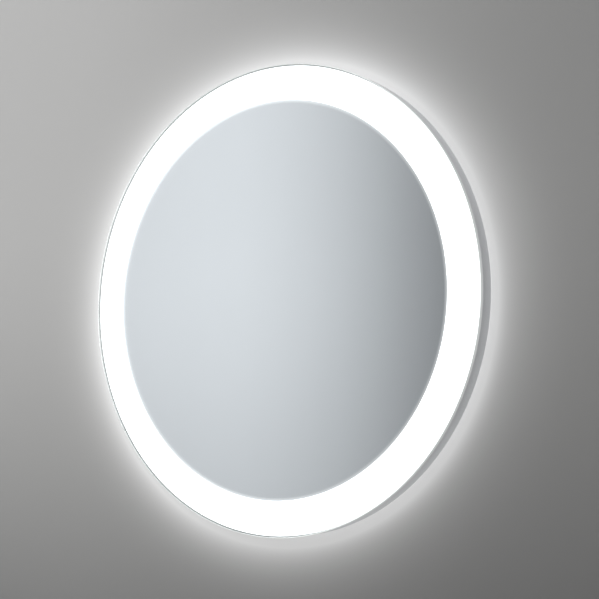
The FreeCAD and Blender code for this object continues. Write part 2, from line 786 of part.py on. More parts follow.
def makeCarrier():
    body = newBody("carrier_ring", z=MIRROR_Z)
    ring(
        body,
        [
            ("carrier_front", "carrier_inner"),
            ("carrier_front", "carrier_radius"),
            ("diffuser_back", "carrier_radius"),
            ("diffuser_back", "carrier_radius + carrier_ledge"),
            ("ledge_back", "carrier_radius + carrier_ledge"),
            ("ledge_back", "carrier_radius"),
            ("pan_front", "carrier_radius"),
            ("pan_front", "carrier_inner"),
            ("pan_front - carrier_wall", "carrier_inner"),
            ("pan_front - carrier_wall", "carrier_radius - carrier_wall"),
            ("carrier_front + carrier_wall", "carrier_radius - carrier_wall"),
            ("carrier_front + carrier_wall", "carrier_inner"),
        ],
    )
    tapped = holes(
        body,
        "pan_front - carrier_wall",
        "pan_front",
        [("0", "carrier_middle")],
        "pan_screw_diameter + 2 * screw_clearance",
        turn="180 / carrier_screw_count",
    )
    around(body, [tapped], "carrier_screw_count")
    loose = "led_lead_diameter + 2 * lead_clearance"
    boreAcross(body, "-carrier_radius", "carrier_wall + cut_margin", "lead_y", "0", loose)


def boreAcross(body, middle, half, y, z, diameter):
    """Cuts a round hole along X, half its length to each side of the place middle."""
    before = solidOf(body).Volume
    sketch = sketchOn(body, "YZ_Plane", middle)
    drawCircle(sketch, y, z, diameter)
    made = feature(body, "Pocket", sketch)
    made.SideType = "Symmetric"
    bind(made, "Length", f"2 * ({half})")
    doc.recompute()
    if not made.Shape.Volume < before:
        raise RuntimeError(f"{body.Label}: a bore took nothing away")
    return made


def makeReflector():
    body = makeRing(
        "light_reflector",
        band(
            "pan_front - film_thickness",
            "pan_front",
            "carrier_radius + diffuser_clearance",
            "flange_inner - diffuser_clearance",
        ),
    )
    hole = holes(
        body,
        "pan_front - film_thickness",
        "pan_front",
        [("0", "halo_rivet_radius")],
        "halo_rivet_diameter * 2",
        turn="180 / halo_rivet_count",
    )
    around(body, [hole], "halo_rivet_count")


# ---- lamp strips ----


def makeStrip(strip_name, lamp_name, radius, middle, count):
    """A strip round the outside of a ring, and its lamps, clear of the strip's ends."""
    under = f"{radius} + strip_glue"
    face = f"{under} + strip_thickness"
    makeRing(
        strip_name,
        band(f"{middle} - strip_width / 2", f"{middle} + strip_width / 2", under, face),
        "strip_angle",
    )
    lamps = newBody(lamp_name, z=MIRROR_Z, spin=f"180 / {count}")
    section = band(
        f"{middle} - lamp_width / 2",
        f"{middle} + lamp_width / 2",
        face,
        f"{face} + lamp_height",
    )
    lamp = bar(lamps, section, "lamp_length")
    around(lamps, [lamp], count)


def makeRearChannel():
    body = newBody("rear_led_channel", z=MIRROR_Z)
    inner = "halo_radius - carrier_wall"
    foot = "halo_radius - halo_foot"
    ring(
        body,
        [
            ("pan_back", foot),
            ("pan_back", "halo_radius"),
            ("halo_top", "halo_radius"),
            ("halo_top", inner),
            ("pan_back + carrier_wall", inner),
            ("pan_back + carrier_wall", foot),
        ],
    )
    hole = holes(
        body,
        "pan_back",
        "pan_back + carrier_wall",
        [("0", "halo_rivet_radius")],
        "halo_rivet_diameter + 2 * screw_clearance",
        turn="180 / halo_rivet_count",
    )
    around(body, [hole], "halo_rivet_count")
    # the rear lead comes through the wall
    loose = "led_lead_diameter + 2 * lead_clearance"
    half = "carrier_wall + cut_margin"
    boreAcross(body, "-halo_lead_x", half, "halo_strip_middle", "rear_lead_z", loose)
    cover = newBody("rear_led_cover", z=MIRROR_Z)
    wall = "halo_outer - halo_cover_wall"
    start = "halo_radius + strip_glue + 2 * strip_thickness + lamp_height"
    ring(
        cover,
        [
            ("pan_back", start),
            ("pan_back", "halo_outer"),
            ("halo_top", "halo_outer"),
            ("halo_top", "halo_radius"),
            ("halo_top - halo_cover_wall", "halo_radius"),
            ("halo_top - halo_cover_wall", wall),
            ("pan_back + halo_cover_wall", wall),
            ("pan_back + halo_cover_wall", start),
        ],
    )
    rivets = newBody("rear_channel_rivets", z=MIRROR_Z, spin="180 / halo_rivet_count")
    low = "pan_front"
    high = "pan_back + carrier_wall"
    rivet = turned(rivets, rivetSection("halo_rivet_diameter / 2", low, high), "halo_rivet_radius")
    around(rivets, [rivet], "halo_rivet_count")


def rivetSection(radius, low, high):
    """Section of a blind rivet through sheets that lie between two depths."""
    return [
        (f"{high} + {radius} * 0.55", "0"),
        (f"{high} + {radius} * 0.45", f"{radius} * 1.1"),
        (f"{high} + {radius} * 0.2", f"{radius} * 1.8"),
        (high, f"{radius} * 2"),
        (high, radius),
        (low, radius),
        (low, f"{radius} * 1.5"),
        (f"{low} - {radius} * 0.7", f"{radius} * 1.3"),
        (f"{low} - {radius}", f"{radius} * 0.8"),
        (f"{low} - {radius}", "0"),
    ]


# ---- hangers and bumpers ----


def makeHangers():
    """Two bent plates whose hooks drop behind the lip of the wall rail."""
    hook_front = "hook_back - hanger_thickness"
    section = [
        ("pan_back", "rail_top"),
        (hook_front, "rail_top"),
        (hook_front, "rail_top - hanger_drop"),
        ("hook_back", "rail_top - hanger_drop"),
        ("hook_back", "rail_top + hanger_thickness"),
        ("pan_back + hanger_thickness", "rail_top + hanger_thickness"),
        ("pan_back + hanger_thickness", "rail_top + hanger_thickness + hanger_foot"),
        ("pan_back", "rail_top + hanger_thickness + hanger_foot"),
    ]
    for name, side in [("hanger_left", -1), ("hanger_right", 1)]:
        body = newBody(name, x=f"{side} * hanger_x")
        bar(body, section, "hanger_width")
        spots = [(f"{k} * hanger_rivet_pitch / 2", "hanger_middle") for k in (-1, 1)]
        bore = "hanger_rivet_diameter + 2 * screw_clearance"
        holes(body, "pan_back", "pan_back + hanger_thickness", spots, bore)
        hook_bend = (number("hook_back"), number("rail_top + hanger_thickness"))
        foot_bend = (number("pan_back"), number("rail_top"))
        roundEdges(body, "hanger_bend", "x", [hook_bend, foot_bend])
    rivets = newBody("hanger_rivets")
    section = rivetSection(
        "hanger_rivet_diameter / 2", "pan_front", "pan_back + hanger_thickness"
    )
    for x, z in HANGER_SPOTS:
        turned(rivets, section, z, x)


def makeBumpers():
    body = newBody("wall_bumpers", z=MIRROR_Z)
    section = [
        ("pan_back", "0"),
        ("pan_back", "bumper_diameter / 2"),
        ("-bumper_chamfer", "bumper_top_diameter / 2"),
        ("0", "bumper_top_diameter / 2 - bumper_chamfer"),
        ("0", "0"),
    ]
    for side in (-1, 1):
        turned(body, section, "-bumper_drop", f"{side} * bumper_spacing / 2")


# ---- terminal box, its lid and what it holds ----

BOX_PLACE = {"x": "box_x", "z": "box_z - hang_height"}
LID_SCREW = ("post_x", "post_z")
CLAMP_SCREWS = [("clamp_x", f"{k} * clamp_spacing / 2") for k in (-1, 1)]


def cavity():
    return rectangle("-cavity_right", "cavity_right", "-cavity_top", "cavity_top")


def mouth():
    return rectangle("mouth_left", "cavity_right", "-cavity_top", "cavity_top")


def makeTerminalBox():
    body = newBody("terminal_box", **BOX_PLACE)
    side = "box_right + box_flange"
    top = "box_top + box_flange"
    plate(body, "pan_back", "box_back", rectangle(f"-({side})", side, f"-({top})", top))
    shell = rectangle("-box_right", "box_right", "-box_top", "box_top")
    plate(body, "box_floor", "pan_back", shell)
    window(body, "box_inside", "pan_back", cavity())
    window(body, "pan_back", "box_back", mouth())
    discs(body, "box_inside", "box_back", [LID_SCREW], "post_diameter")
    discs(body, "box_inside", "clamp_floor", CLAMP_SCREWS, "clamp_width")
    holes(body, "pan_back", "box_back", [("inlet_x", "0")], "inlet_neck")
    pilot = "box_screw_diameter + 2 * screw_clearance"
    bottom = "clamp_floor - clamp_screw_reach - blind_clearance"
    holes(body, bottom, "clamp_floor", CLAMP_SCREWS, pilot)
    bottom = "box_back - lid_screw_reach - blind_clearance"
    bore = "lid_screw_diameter + 2 * lid_screw_clearance"
    holes(body, bottom, "box_back", [LID_SCREW], bore)
    holes(body, "pan_back", "box_back", BOX_SCREWS, pilot)
    for first, last in boxKnuckles():
        knuckle(body, first, last)
    pin = "hinge_diameter + 2 * hinge_clearance"
    boreAcross(body, "hinge_middle", "hinge_half + cut_margin", "hinge_y", "hinge_z", pin)
    half = "box_wall / 2 + cut_margin"
    loose = "mains_lead_diameter + 2 * lead_clearance"
    boreAcross(body, "box_right - box_wall / 2", half, "lead_y", "0", loose)
    # the earth lead leaves through the bottom wall
    sketch = sketchOn(body, "XY_Plane", "-box_top + box_wall / 2")
    drawCircle(sketch, "block_offset", "lead_y", "earth_lead_diameter + 2 * lead_clearance")
    made = feature(body, "Pocket", sketch)
    made.SideType = "Symmetric"
    bind(made, "Length", f"2 * ({half})")


def boxKnuckles():
    """Starts and ends of the three knuckles that the box carries."""
    gap = "knuckle_gap"
    one = "knuckle_first"
    two = "knuckle_second"
    return [
        ("hinge_middle - hinge_half", f"{one} - {gap}"),
        (f"{one} + knuckle_length + {gap}", f"{two} - {gap}"),
        (f"{two} + knuckle_length + {gap}", "hinge_middle + hinge_half"),
    ]


# half a side of an eight-sided knuckle
KNUCKLE_CUT = "tan(22.5) * knuckle_radius"


def knuckle(body, first, last):
    """A knuckle of the box: a block from its flange to the pin, with its top corners cut."""
    y = "hinge_y"
    z = "hinge_z"
    r = "knuckle_radius"
    cut = KNUCKLE_CUT
    section = [
        ("box_back", f"{z} - {r}"),
        (f"{y} + {cut}", f"{z} - {r}"),
        (f"{y} + {r}", f"{z} - {cut}"),
        (f"{y} + {r}", f"{z} + {cut}"),
        (f"{y} + {cut}", f"{z} + {r}"),
        ("box_back", f"{z} + {r}"),
    ]
    bar(body, section, f"({last}) - ({first})", f"(({first}) + ({last})) / 2")


def makeLid():
    """Shallow lid, open towards the box, with two knuckles above it."""
    body = newBody("terminal_lid", **BOX_PLACE)
    wall = "lid_wall"
    plate(body, "box_back", "lid_back", rectangle("lid_left", "lid_right", "-lid_top", "lid_top"))
    inner = rectangle(
        f"lid_left + {wall}", f"lid_right - {wall}", f"-lid_top + {wall}", f"lid_top - {wall}"
    )
    window(body, "box_back", f"lid_back - {wall}", inner)
    discs(body, "box_back", f"lid_back - {wall}", [LID_SCREW], "post_diameter")
    holes(body, "box_back", "lid_back", [LID_SCREW], "lid_screw_diameter + 2 * screw_clearance")
    y = "hinge_y"
    z = "hinge_z"
    r = "knuckle_radius"
    cut = KNUCKLE_CUT
    eight = [
        (f"{y} - {cut}", f"{z} - {r}"),
        (f"{y} + {cut}", f"{z} - {r}"),
        (f"{y} + {r}", f"{z} - {cut}"),
        (f"{y} + {r}", f"{z} + {cut}"),
        (f"{y} + {cut}", f"{z} + {r}"),
        (f"{y} - {cut}", f"{z} + {r}"),
        (f"{y} - {r}", f"{z} + {cut}"),
        (f"{y} - {r}", f"{z} - {cut}"),
    ]
    neck = [
        (f"{y} - {r} / 2", "lid_top"),
        (f"{y} + {r} / 2", "lid_top"),
        (f"{y} + {r} / 2", z),
        (f"{y} - {r} / 2", z),
    ]
    for first in ("knuckle_first", "knuckle_second"):
        middle = f"{first} + knuckle_length / 2"
        bar(body, eight, "knuckle_length", middle)
        bar(body, neck, "knuckle_length", middle)
    pin = "hinge_diameter + 2 * hinge_clearance"
    boreAcross(body, "hinge_middle", "hinge_half + cut_margin", y, z, pin)
    hinge = newBody("lid_hinge_pin", **BOX_PLACE)
    sketch = sketchOn(hinge, "YZ_Plane", "hinge_middle")
    drawCircle(sketch, y, z, "hinge_diameter")
    made = feature(hinge, "Pad", sketch)
    made.SideType = "Symmetric"
    bind(made, "Length", "2 * hinge_half")
    screw = newBody("lid_screw", **BOX_PLACE)
    turned(
        screw,
        screwSection("lid_screw_diameter / 2", "lid_back", "box_back - lid_screw_reach"),
        LID_SCREW[1],
        LID_SCREW[0],
    )
    crossCut(screw, "lid_screw_diameter", "lid_back", LID_SCREW)


def screwSection(radius, seat, tip, head="screw_head_height * 0.8"):
    """Section of a small pan-head screw: head behind seat, point at tip."""
    return [
        (f"{seat} + {head}", "0"),
        (f"{seat} + {head}", f"{radius} * 1.2"),
        (f"{seat} + {head} * 0.6", f"{radius} * 1.7"),
        (seat, f"{radius} * 1.9"),
        (seat, radius),
        (f"{tip} + {radius} * 0.4", radius),
        (tip, f"{radius} * 0.6"),
        (tip, "0"),
    ]


def crossCut(body, diameter, seat, spot, head="screw_head_height * 0.8"):
    outline = crossOutline(f"{diameter} * 0.9", spot[1], spot[0])
    return window(body, f"{seat} + {head} * 0.4", f"{seat} + {head}", outline)


def makeSmallScrews(name, spots, diameter, seat, tip, **place):
    """Pan-head screws, one at each spot of X and Z."""
    body = newBody(name, **place)
    for x, z in spots:
        turned(body, screwSection(f"{diameter} / 2", seat, tip), z, x)
        crossCut(body, diameter, seat, (x, z))
    return body


def makeBoxFittings():
    makeSmallScrews(
        "terminal_box_screws",
        BOX_SCREWS,
        "box_screw_diameter",
        "box_back",
        "pan_front - screw_protrusion",
        **BOX_PLACE,
    )
    body = newBody("cord_clamp", **BOX_PLACE)
    reach = "clamp_spacing / 2 + clamp_width / 2"
    half = "clamp_width / 2"
    top = "clamp_floor + clamp_thickness"
    bounds = rectangle(f"clamp_x - {half}", f"clamp_x + {half}", f"-({reach})", reach)
    plate(body, "clamp_floor", top, bounds)
    bore = "box_screw_diameter + 2 * hole_clearance"
    holes(body, "clamp_floor", top, CLAMP_SCREWS, bore)
    makeSmallScrews(
        "cord_clamp_screws",
        CLAMP_SCREWS,
        "box_screw_diameter",
        top,
        "clamp_floor - clamp_screw_reach",
        **BOX_PLACE,
    )
    makeGrommets()
    makeTerminalBlock()


def makeGrommets():
    """Rubber grommets: the supply inlet, and the hole for the rear lead."""
    body = newBody("supply_grommet", **BOX_PLACE)
    edge = "inlet_flange_thickness"
    bore = "inlet_diameter / 2"
    turned(
        body,
        [
            (f"pan_back - {edge}", bore),
            (f"pan_back - {edge}", f"inlet_flange / 2 - {edge} / 2"),
            (f"pan_back - {edge} / 2", "inlet_flange / 2"),
            ("pan_back", "inlet_flange / 2"),
            ("pan_back", "inlet_neck / 2"),
            ("box_back", "inlet_neck / 2"),
            ("box_back", "inlet_flange / 2"),
            (f"box_back + {edge} / 2", "inlet_flange / 2"),
            (f"box_back + {edge}", f"inlet_flange / 2 - {edge} / 2"),
            (f"box_back + {edge}", bore),
        ],
        "0",
        "inlet_x",
    )
    body = newBody("lead_grommet", z=MIRROR_Z)
    bore = "led_lead_diameter / 2 + lead_clearance"
    edge = "pan_thickness"
    turned(
        body,
        [
            (f"pan_front - {edge}", bore),
            (f"pan_front - {edge}", "lead_grommet_diameter / 2"),
            ("pan_front", "lead_grommet_diameter / 2"),
            ("pan_front", "lead_grommet_neck / 2"),
            ("pan_back", "lead_grommet_neck / 2"),
            ("pan_back", "lead_grommet_diameter / 2"),
            (f"pan_back + {edge}", "lead_grommet_diameter / 2"),
            (f"pan_back + {edge}", bore),
        ],
        "rear_lead_z",
        "-rear_lead_reach",
    )


def makeTerminalBlock():
    """Three-pole block: a screw well at each end of each pole, wire holes in its sides."""
    body = newBody("terminal_block", **BOX_PLACE)
    half = "block_width / 2"
    bounds = rectangle("block_left", "block_right", f"-{half}", half)
    plate(body, "box_inside", "block_back", bounds)
    wells = [
        (f"block_offset + {i} * block_length / 4", f"{k} * block_width / 3")
        for i in (-1, 1)
        for k in (-1, 0, 1)
    ]
    well = "block_screw_diameter + 2 * hole_clearance"
    holes(body, "well_bottom", "block_back", wells, well)
    for k in (-1, 0, 1):
        pole = f"{k} * block_width / 3"
        wire = "block_entry_diameter"
        boreAcross(body, "block_left", "block_entry_depth", "block_entry", pole, wire)
    screws = newBody("terminal_screws", **BOX_PLACE)
    top = "well_bottom + block_screw_height"
    discs(screws, "well_bottom", top, wells, "block_screw_diameter")
    slot = "block_slot_width / 2"
    arm = "(block_screw_diameter / 2 + hole_clearance)"
    for x, z in wells:
        outline = rectangle(f"{x} - {slot}", f"{x} + {slot}", f"{z} - {arm}", f"{z} + {arm}")
        window(screws, f"{top} - block_slot_depth", top, outline)


# ---- driver ----


def makeDriver():
    place = {"z": "driver_z - hang_height"}
    base = newBody("driver_base", **place)
    half = "driver_width / 2"
    end = "driver_length / 2 + driver_ear"
    plate(base, "base_front", "pan_front", rectangle(f"-({end})", end, f"-{half}", half))
    posts = [
        (f"{i} * (board_right - board_post_inset)", f"{k} * (board_edge - board_post_inset)")
        for i in (-1, 1)
        for k in (-1, 1)
    ]
    discs(base, "board_back", "base_front", posts, "board_post_diameter")
    bore = "driver_screw_diameter + 2 * hole_clearance"
    holes(base, "base_front", "pan_front", DRIVER_SCREWS, bore)
    cover = newBody("driver_cover", **place)
    wall = "driver_wall"
    left = "driver_length / 2"
    front = "base_front - driver_height"
    plate(cover, front, "base_front", rectangle(f"-{left}", left, f"-{half}", half))
    inner = rectangle(
        f"-{left} + {wall}", f"{left} - {wall}", f"-{half} + {wall}", f"{half} - {wall}"
    )
    window(cover, f"{front} + {wall}", "base_front", inner)
    reach = "driver_wall + cut_margin"
    thick = "mains_lead_diameter + 2 * lead_clearance"
    thin = "led_lead_diameter + 2 * lead_clearance"
    boreAcross(cover, left, reach, "lead_y", "0", thick)
    boreAcross(cover, f"-{left}", reach, "lead_y", "0", thin)
    boreAcross(cover, f"-{left}", reach, "lead_y", "-rear_lead_drop", thin)
    board = newBody("driver_board", **place)
    outline = rectangle("-board_right", "board_right", "-board_edge", "board_edge")
    plate(board, "board_front", "board_back", outline)
    makeDriverParts(place)
    body = newBody("driver_screws", **place)
    for x, z in DRIVER_SCREWS:
        # these heads sit on the front of the base, so the section is turned over
        section = [
            ("base_front - screw_head_height * 0.8", "0"),
            ("base_front - screw_head_height * 0.8", "driver_screw_diameter * 0.6"),
            ("base_front", "driver_screw_diameter * 0.95"),
            ("base_front", "driver_screw_diameter / 2"),
            ("pan_back", "driver_screw_diameter / 2"),
            ("pan_back + screw_protrusion", "driver_screw_diameter * 0.35"),
            ("pan_back + screw_protrusion", "0"),
        ]
        turned(body, section, z, x)


def makeDriverParts(place):
    """Transformer, input coil, capacitors and rectifier, standing on the board."""
    body = newBody("driver_parts", **place)

    def block(x, z, length, width, height):
        outline = rectangle(
            f"{x} - {length} / 2", f"{x} + {length} / 2", f"{z} - {width} / 2", f"{z} + {width} / 2"
        )
        plate(body, f"board_front - {height}", "board_front", outline)

    def cans(spots, diameter, height):
        discs(body, f"board_front - {height}", "board_front", spots, diameter)

    block("transformer_x", "0", "transformer_length", "transformer_width", "transformer_height")
    coil = [("coil_x", "coil_z")]
    cans(coil, "coil_diameter", "coil_height")
    holes(body, "board_front - coil_height", "board_front", coil, "coil_bore")
    outputs = [("capacitor_x", "capacitor_z"), ("capacitor_x + capacitor_pitch", "capacitor_z")]
    cans(outputs, "capacitor_diameter", "capacitor_height")
    small = [("capacitor_x", "-capacitor_z"), ("input_capacitor_x", "capacitor_z")]
    cans(small, "small_capacitor_diameter", "coil_height")
    block("rectifier_x", "0", "rectifier_length", "rectifier_length", "rectifier_height")


# ---- leads, clips and earth ----


def tubePath(points, bend):
    """Straight runs joined by tangent arcs of one bend radius."""
    spots = [Vector(*[number(c) for c in point]) for point in points]
    edges = []
    start = spots[0]
    for before, corner, after in zip(spots, spots[1:], spots[2:]):
        come = (before - corner).normalize()
        leave = (after - corner).normalize()
        half = come.getAngle(leave) / 2
        reach = bend / math.tan(half)
        first = corner + come * reach
        last = corner + leave * reach
        inward = (come + leave).normalize()
        middle = corner + inward * (bend / math.sin(half) - bend)
        edges.append(Part.LineSegment(start, first).toShape())
        edges.append(Part.Arc(first, middle, last).toShape())
        start = last
    edges.append(Part.LineSegment(start, spots[-1]).toShape())
    return Part.Wire(edges)


def makeLead(name, points, diameter, bend):
    """A round lead along its route; its volume is checked against its length."""
    path = tubePath(points, bend)
    start = path.Edges[0].Vertexes[0].Point
    along = path.Edges[0].tangentAt(path.Edges[0].FirstParameter)
    section = Part.Wire(Part.makeCircle(diameter / 2, start, along))
    tube = path.makePipeShell([section], True, False)
    expected = path.Length * math.pi * diameter ** 2 / 4
    if abs(tube.Volume - expected) > 0.01 * expected:
        raise RuntimeError(f"{name}: the tube's volume is off")
    print(f"{name}: {path.Length:.0f} mm long, bends {bend} mm")
    lead = doc.addObject("Part::Feature", name)
    lead.Label = name
    lead.Shape = tube
    bind(lead, "Placement.Base.z", MIRROR_Z)


def makeLeads():
    lead = "lead_y"
    makeLead(
        "mains_lead",
        [
            ("box_x + block_right", lead, "box_z"),
            ("mains_lead_reach", lead, "box_z"),
            ("mains_lead_reach", lead, "driver_z"),
            ("board_right", lead, "driver_z"),
        ],
        number("mains_lead_diameter"),
        number("mains_lead_bend"),
    )
    makeLead(
        "front_led_lead",
        [
            ("-board_right", lead, "driver_z"),
            ("-front_lead_reach", lead, "driver_z"),
            ("-front_lead_reach", lead, "0"),
            ("-carrier_radius", lead, "0"),
        ],
        number("led_lead_diameter"),
        number("front_lead_bend"),
    )
    makeLead(
        "rear_led_lead",
        [
            ("-board_right", lead, "rear_lead_z"),
            ("-rear_lead_reach", lead, "rear_lead_z"),
            ("-rear_lead_reach", "halo_strip_middle", "rear_lead_z"),
            ("lead_clearance - halo_lead_x", "halo_strip_middle", "rear_lead_z"),
        ],
        number("led_lead_diameter"),
        number("rear_lead_bend"),
    )
    makeLead(
        "earth_lead",
        [
            ("earth_x", lead, "box_z - block_width / 2"),
            ("earth_x", lead, "earth_z + earth_lug_diameter / 2"),
        ],
        number("earth_lead_diameter"),
        0,
    )


def makeClips(name, spots, diameter):
    """Stick-on clips: a block with a bore along the lead; spots are x, z and the lead's way."""
    blocks = []
    for i, (x, z, way) in enumerate(spots):
        along = "clip_length"
        across = f"{diameter} + 2 * clip_foot"
        block = doc.addObject("Part::Box", f"{name}_block{i}")
        long_side, short_side = ("Length", "Width") if way == "x" else ("Width", "Length")
        bind(block, long_side, along)
        bind(block, short_side, across)
        height = f"lead_level + {diameter} / 2 + clip_wall"
        bind(block, "Height", height)
        block.Placement = Placement(Vector(), Rotation(Vector(1, 0, 0), 90))
        run = along if way == "x" else across
        rise = across if way == "x" else along
        bind(block, "Placement.Base.x", f"{x} - ({run}) / 2")
        bind(block, "Placement.Base.y", "pan_front")
        bind(block, "Placement.Base.z", f"{z} - ({rise}) / 2 - hang_height")
        bore = doc.addObject("Part::Cylinder", f"{name}_bore{i}")
        bind(bore, "Radius", f"{diameter} / 2 + lead_clearance")
        bind(bore, "Height", f"2 * {along}")
        axis = Vector(1, 0, 0) if way == "x" else Vector(0, 0, 1)
        bore.Placement = Placement(Vector(), Rotation(Vector(0, 0, 1), axis))
        back_x, back_z = (along, "0") if way == "x" else ("0", along)
        bind(bore, "Placement.Base.x", f"{x} - {back_x}")
        bind(bore, "Placement.Base.y", "lead_y")
        bind(bore, "Placement.Base.z", f"{z} - {back_z} - hang_height")
        clip = doc.addObject("Part::Cut", f"{name}_clip{i}")
        clip.Base = block
        clip.Tool = bore
        blocks.append(clip)
    group = doc.addObject("Part::Compound", name)
    group.Label = name
    group.Links = blocks


def makeEarth():
    place = {"x": "earth_x", "z": "earth_z - hang_height"}
    stud = newBody("earth_stud", **place)
    top = "lug_low - earth_nut_height"
    discs(stud, f"{top} - screw_protrusion", "pan_front", [("0", "0")], "earth_stud_diameter")
    lug = newBody("earth_lug", **place)
    discs(lug, "lug_low", "lug_low + earth_lug_thickness", [("0", "0")], "earth_lug_diameter")
    bore = "earth_stud_diameter + 2 * screw_clearance"
    holes(lug, "lug_low", "lug_low + earth_lug_thickness", [("0", "0")], bore)
    nuts = newBody("earth_nuts", **place)
    flat = "earth_nut_width / 2"
    tip = "earth_nut_width / sqrt(3)"
    hexagon = [
        (tip, "0"), (f"{tip} / 2", flat), (f"-{tip} / 2", flat),
        (f"-{tip}", "0"), (f"-{tip} / 2", f"-{flat}"), (f"{tip} / 2", f"-{flat}"),
    ]
    for low, high in [("lug_low + earth_lug_thickness", "pan_front"), (top, "lug_low")]:
        plate(nuts, low, high, hexagon)
        holes(nuts, low, high, [("0", "0")], bore)


# ---- build everything ----

makeWallRail()
makeGlass()
makeBondedRings()
makeSideFrame()
makeJointPlate()
makeBackPan()
screwRing("pan_screws", "flange_middle", "flange_front", "pan_screw_count")
screwRing("carrier_screws", "carrier_middle", "pan_front - carrier_wall", "carrier_screw_count")
makeCarrier()
makeReflector()
makeStrip("front_led_strip", "front_leds", "carrier_radius", "front_strip_middle", "front_lamp_count")
makeStrip("rear_led_strip", "rear_leds", "halo_radius", "halo_strip_middle", "rear_lamp_count")
makeRearChannel()
makeHangers()
makeBumpers()
makeTerminalBox()
makeLid()
makeBoxFittings()
makeDriver()
makeLeads()
makeClips(
    "mains_lead_clips",
    [
        ("mains_lead_reach", "(box_z + driver_z + mains_clip_pitch) / 2", "z"),
        ("mains_lead_reach", "(box_z + driver_z - mains_clip_pitch) / 2", "z"),
    ],
    "mains_lead_diameter",
)
makeClips(
    "led_lead_clips",
    [
        ("-led_clip_first", "0", "x"),
        ("-led_clip_last", "0", "x"),
        ("-led_clip_first", "rear_lead_z", "x"),
    ],
    "led_lead_diameter",
)
makeEarth()

doc.recompute()

# ---- check and write ----

os.makedirs("parts", exist_ok=True)
nodes = [
    thing
    for thing in doc.Objects
    if thing.TypeId in ("PartDesign::Body", "Part::Feature", "Part::Compound")
]
for thing in doc.Objects:
    if "Invalid" in thing.State or "Error" in thing.State:
        raise RuntimeError(f"{thing.Name} failed: {thing.State}")
for node in nodes:
    if node.Shape.isNull() or not node.Shape.isValid():
        raise RuntimeError(f"{node.Label}: its shape isn't valid")
    print(f"{node.Label}: {len(node.Shape.Solids)} solid(s), {node.Shape.Volume / 1000:.2f} cm3")
for node in nodes:
    node.Shape.exportStep(f"parts/{node.Label}.step")
print(f"{len(nodes)} nodes")
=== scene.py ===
import math
import bpy
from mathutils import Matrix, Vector


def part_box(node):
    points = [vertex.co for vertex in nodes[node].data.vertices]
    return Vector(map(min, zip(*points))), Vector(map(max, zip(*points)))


# Round wall mirror, 600 mm across: a lit band inside its rim and a halo on the wall behind.
# Metres. X runs right, Y into the wall, Z up; the wall is at Y = 0.

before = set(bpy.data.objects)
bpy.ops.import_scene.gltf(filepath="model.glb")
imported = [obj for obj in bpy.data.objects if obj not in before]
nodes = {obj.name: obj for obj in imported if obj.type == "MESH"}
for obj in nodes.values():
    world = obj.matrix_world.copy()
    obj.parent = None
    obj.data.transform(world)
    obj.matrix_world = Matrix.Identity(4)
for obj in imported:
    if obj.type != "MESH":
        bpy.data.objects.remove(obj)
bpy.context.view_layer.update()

glassLow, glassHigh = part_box("mirror_glass")
silverLow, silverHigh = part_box("silver_backing")
mirrorCentre = (glassLow + glassHigh) / 2
glassRadius = (glassHigh.x - glassLow.x) / 2
silverRadius = (silverHigh.x - silverLow.x) / 2
print("frame loaded:", len(nodes), "nodes")


def toLinear(hexColour):
    channels = [int(hexColour[i:i + 2], 16) / 255 for i in (1, 3, 5)]
    return [c / 12.92 if c <= 0.04045 else ((c + 0.055) / 1.055) ** 2.4 for c in channels] + [1.0]


def toMetres(millimetres):
    return millimetres / 1000


def perMetre(millimetres):
    # texture scale at which one feature is that many millimetres
    return 1000 / millimetres


def feed(tree, node, feeds):
    # a node stands for its first output in use; anything else that isn't a socket is a plain value
    for name, value in feeds.items():
        socket = next(s for s in node.inputs if s.enabled and name in (s.name, s.identifier))
        if isinstance(value, bpy.types.Node):
            value = next(s for s in value.outputs if s.enabled)
        if isinstance(value, bpy.types.NodeSocket):
            tree.links.new(value, socket)
        else:
            socket.default_value = value


def addNode(tree, kind, feeds={}, **settings):
    node = tree.nodes.new("ShaderNode" + kind)
    for name, value in settings.items():
        setattr(node, name, value)
    feed(tree, node, feeds)
    return node


def newFinish(name, values):
    material = bpy.data.materials.new(name)
    material.use_nodes = True
    tree = material.node_tree
    shader = tree.nodes["Principled BSDF"]
    feed(tree, shader, values)
    return material, tree, shader


def placeIn(tree, stretch=(1, 1, 1)):
    # a piece's own coordinates in metres, so that a pattern moves with its piece; an axis with
    # a small number draws the pattern out along it
    own = addNode(tree, "TexCoord").outputs["Object"]
    return addNode(tree, "Mapping", {"Vector": own, "Scale": stretch})


def radiusIn(tree):
    # distance from the mirror's axis, in metres
    own = addNode(tree, "TexCoord").outputs["Object"]
    aside = addNode(tree, "VectorMath", {"Vector": own, "Vector_001": mirrorCentre}, operation="SUBTRACT")
    flat = addNode(tree, "VectorMath", {"Vector": aside, "Vector_001": (1, 0, 1)}, operation="MULTIPLY")
    return addNode(tree, "VectorMath", {"Vector": flat}, operation="LENGTH").outputs["Value"]


def dress(material, *names):
    for name in names:
        nodes[name].material_slots[0].material = material


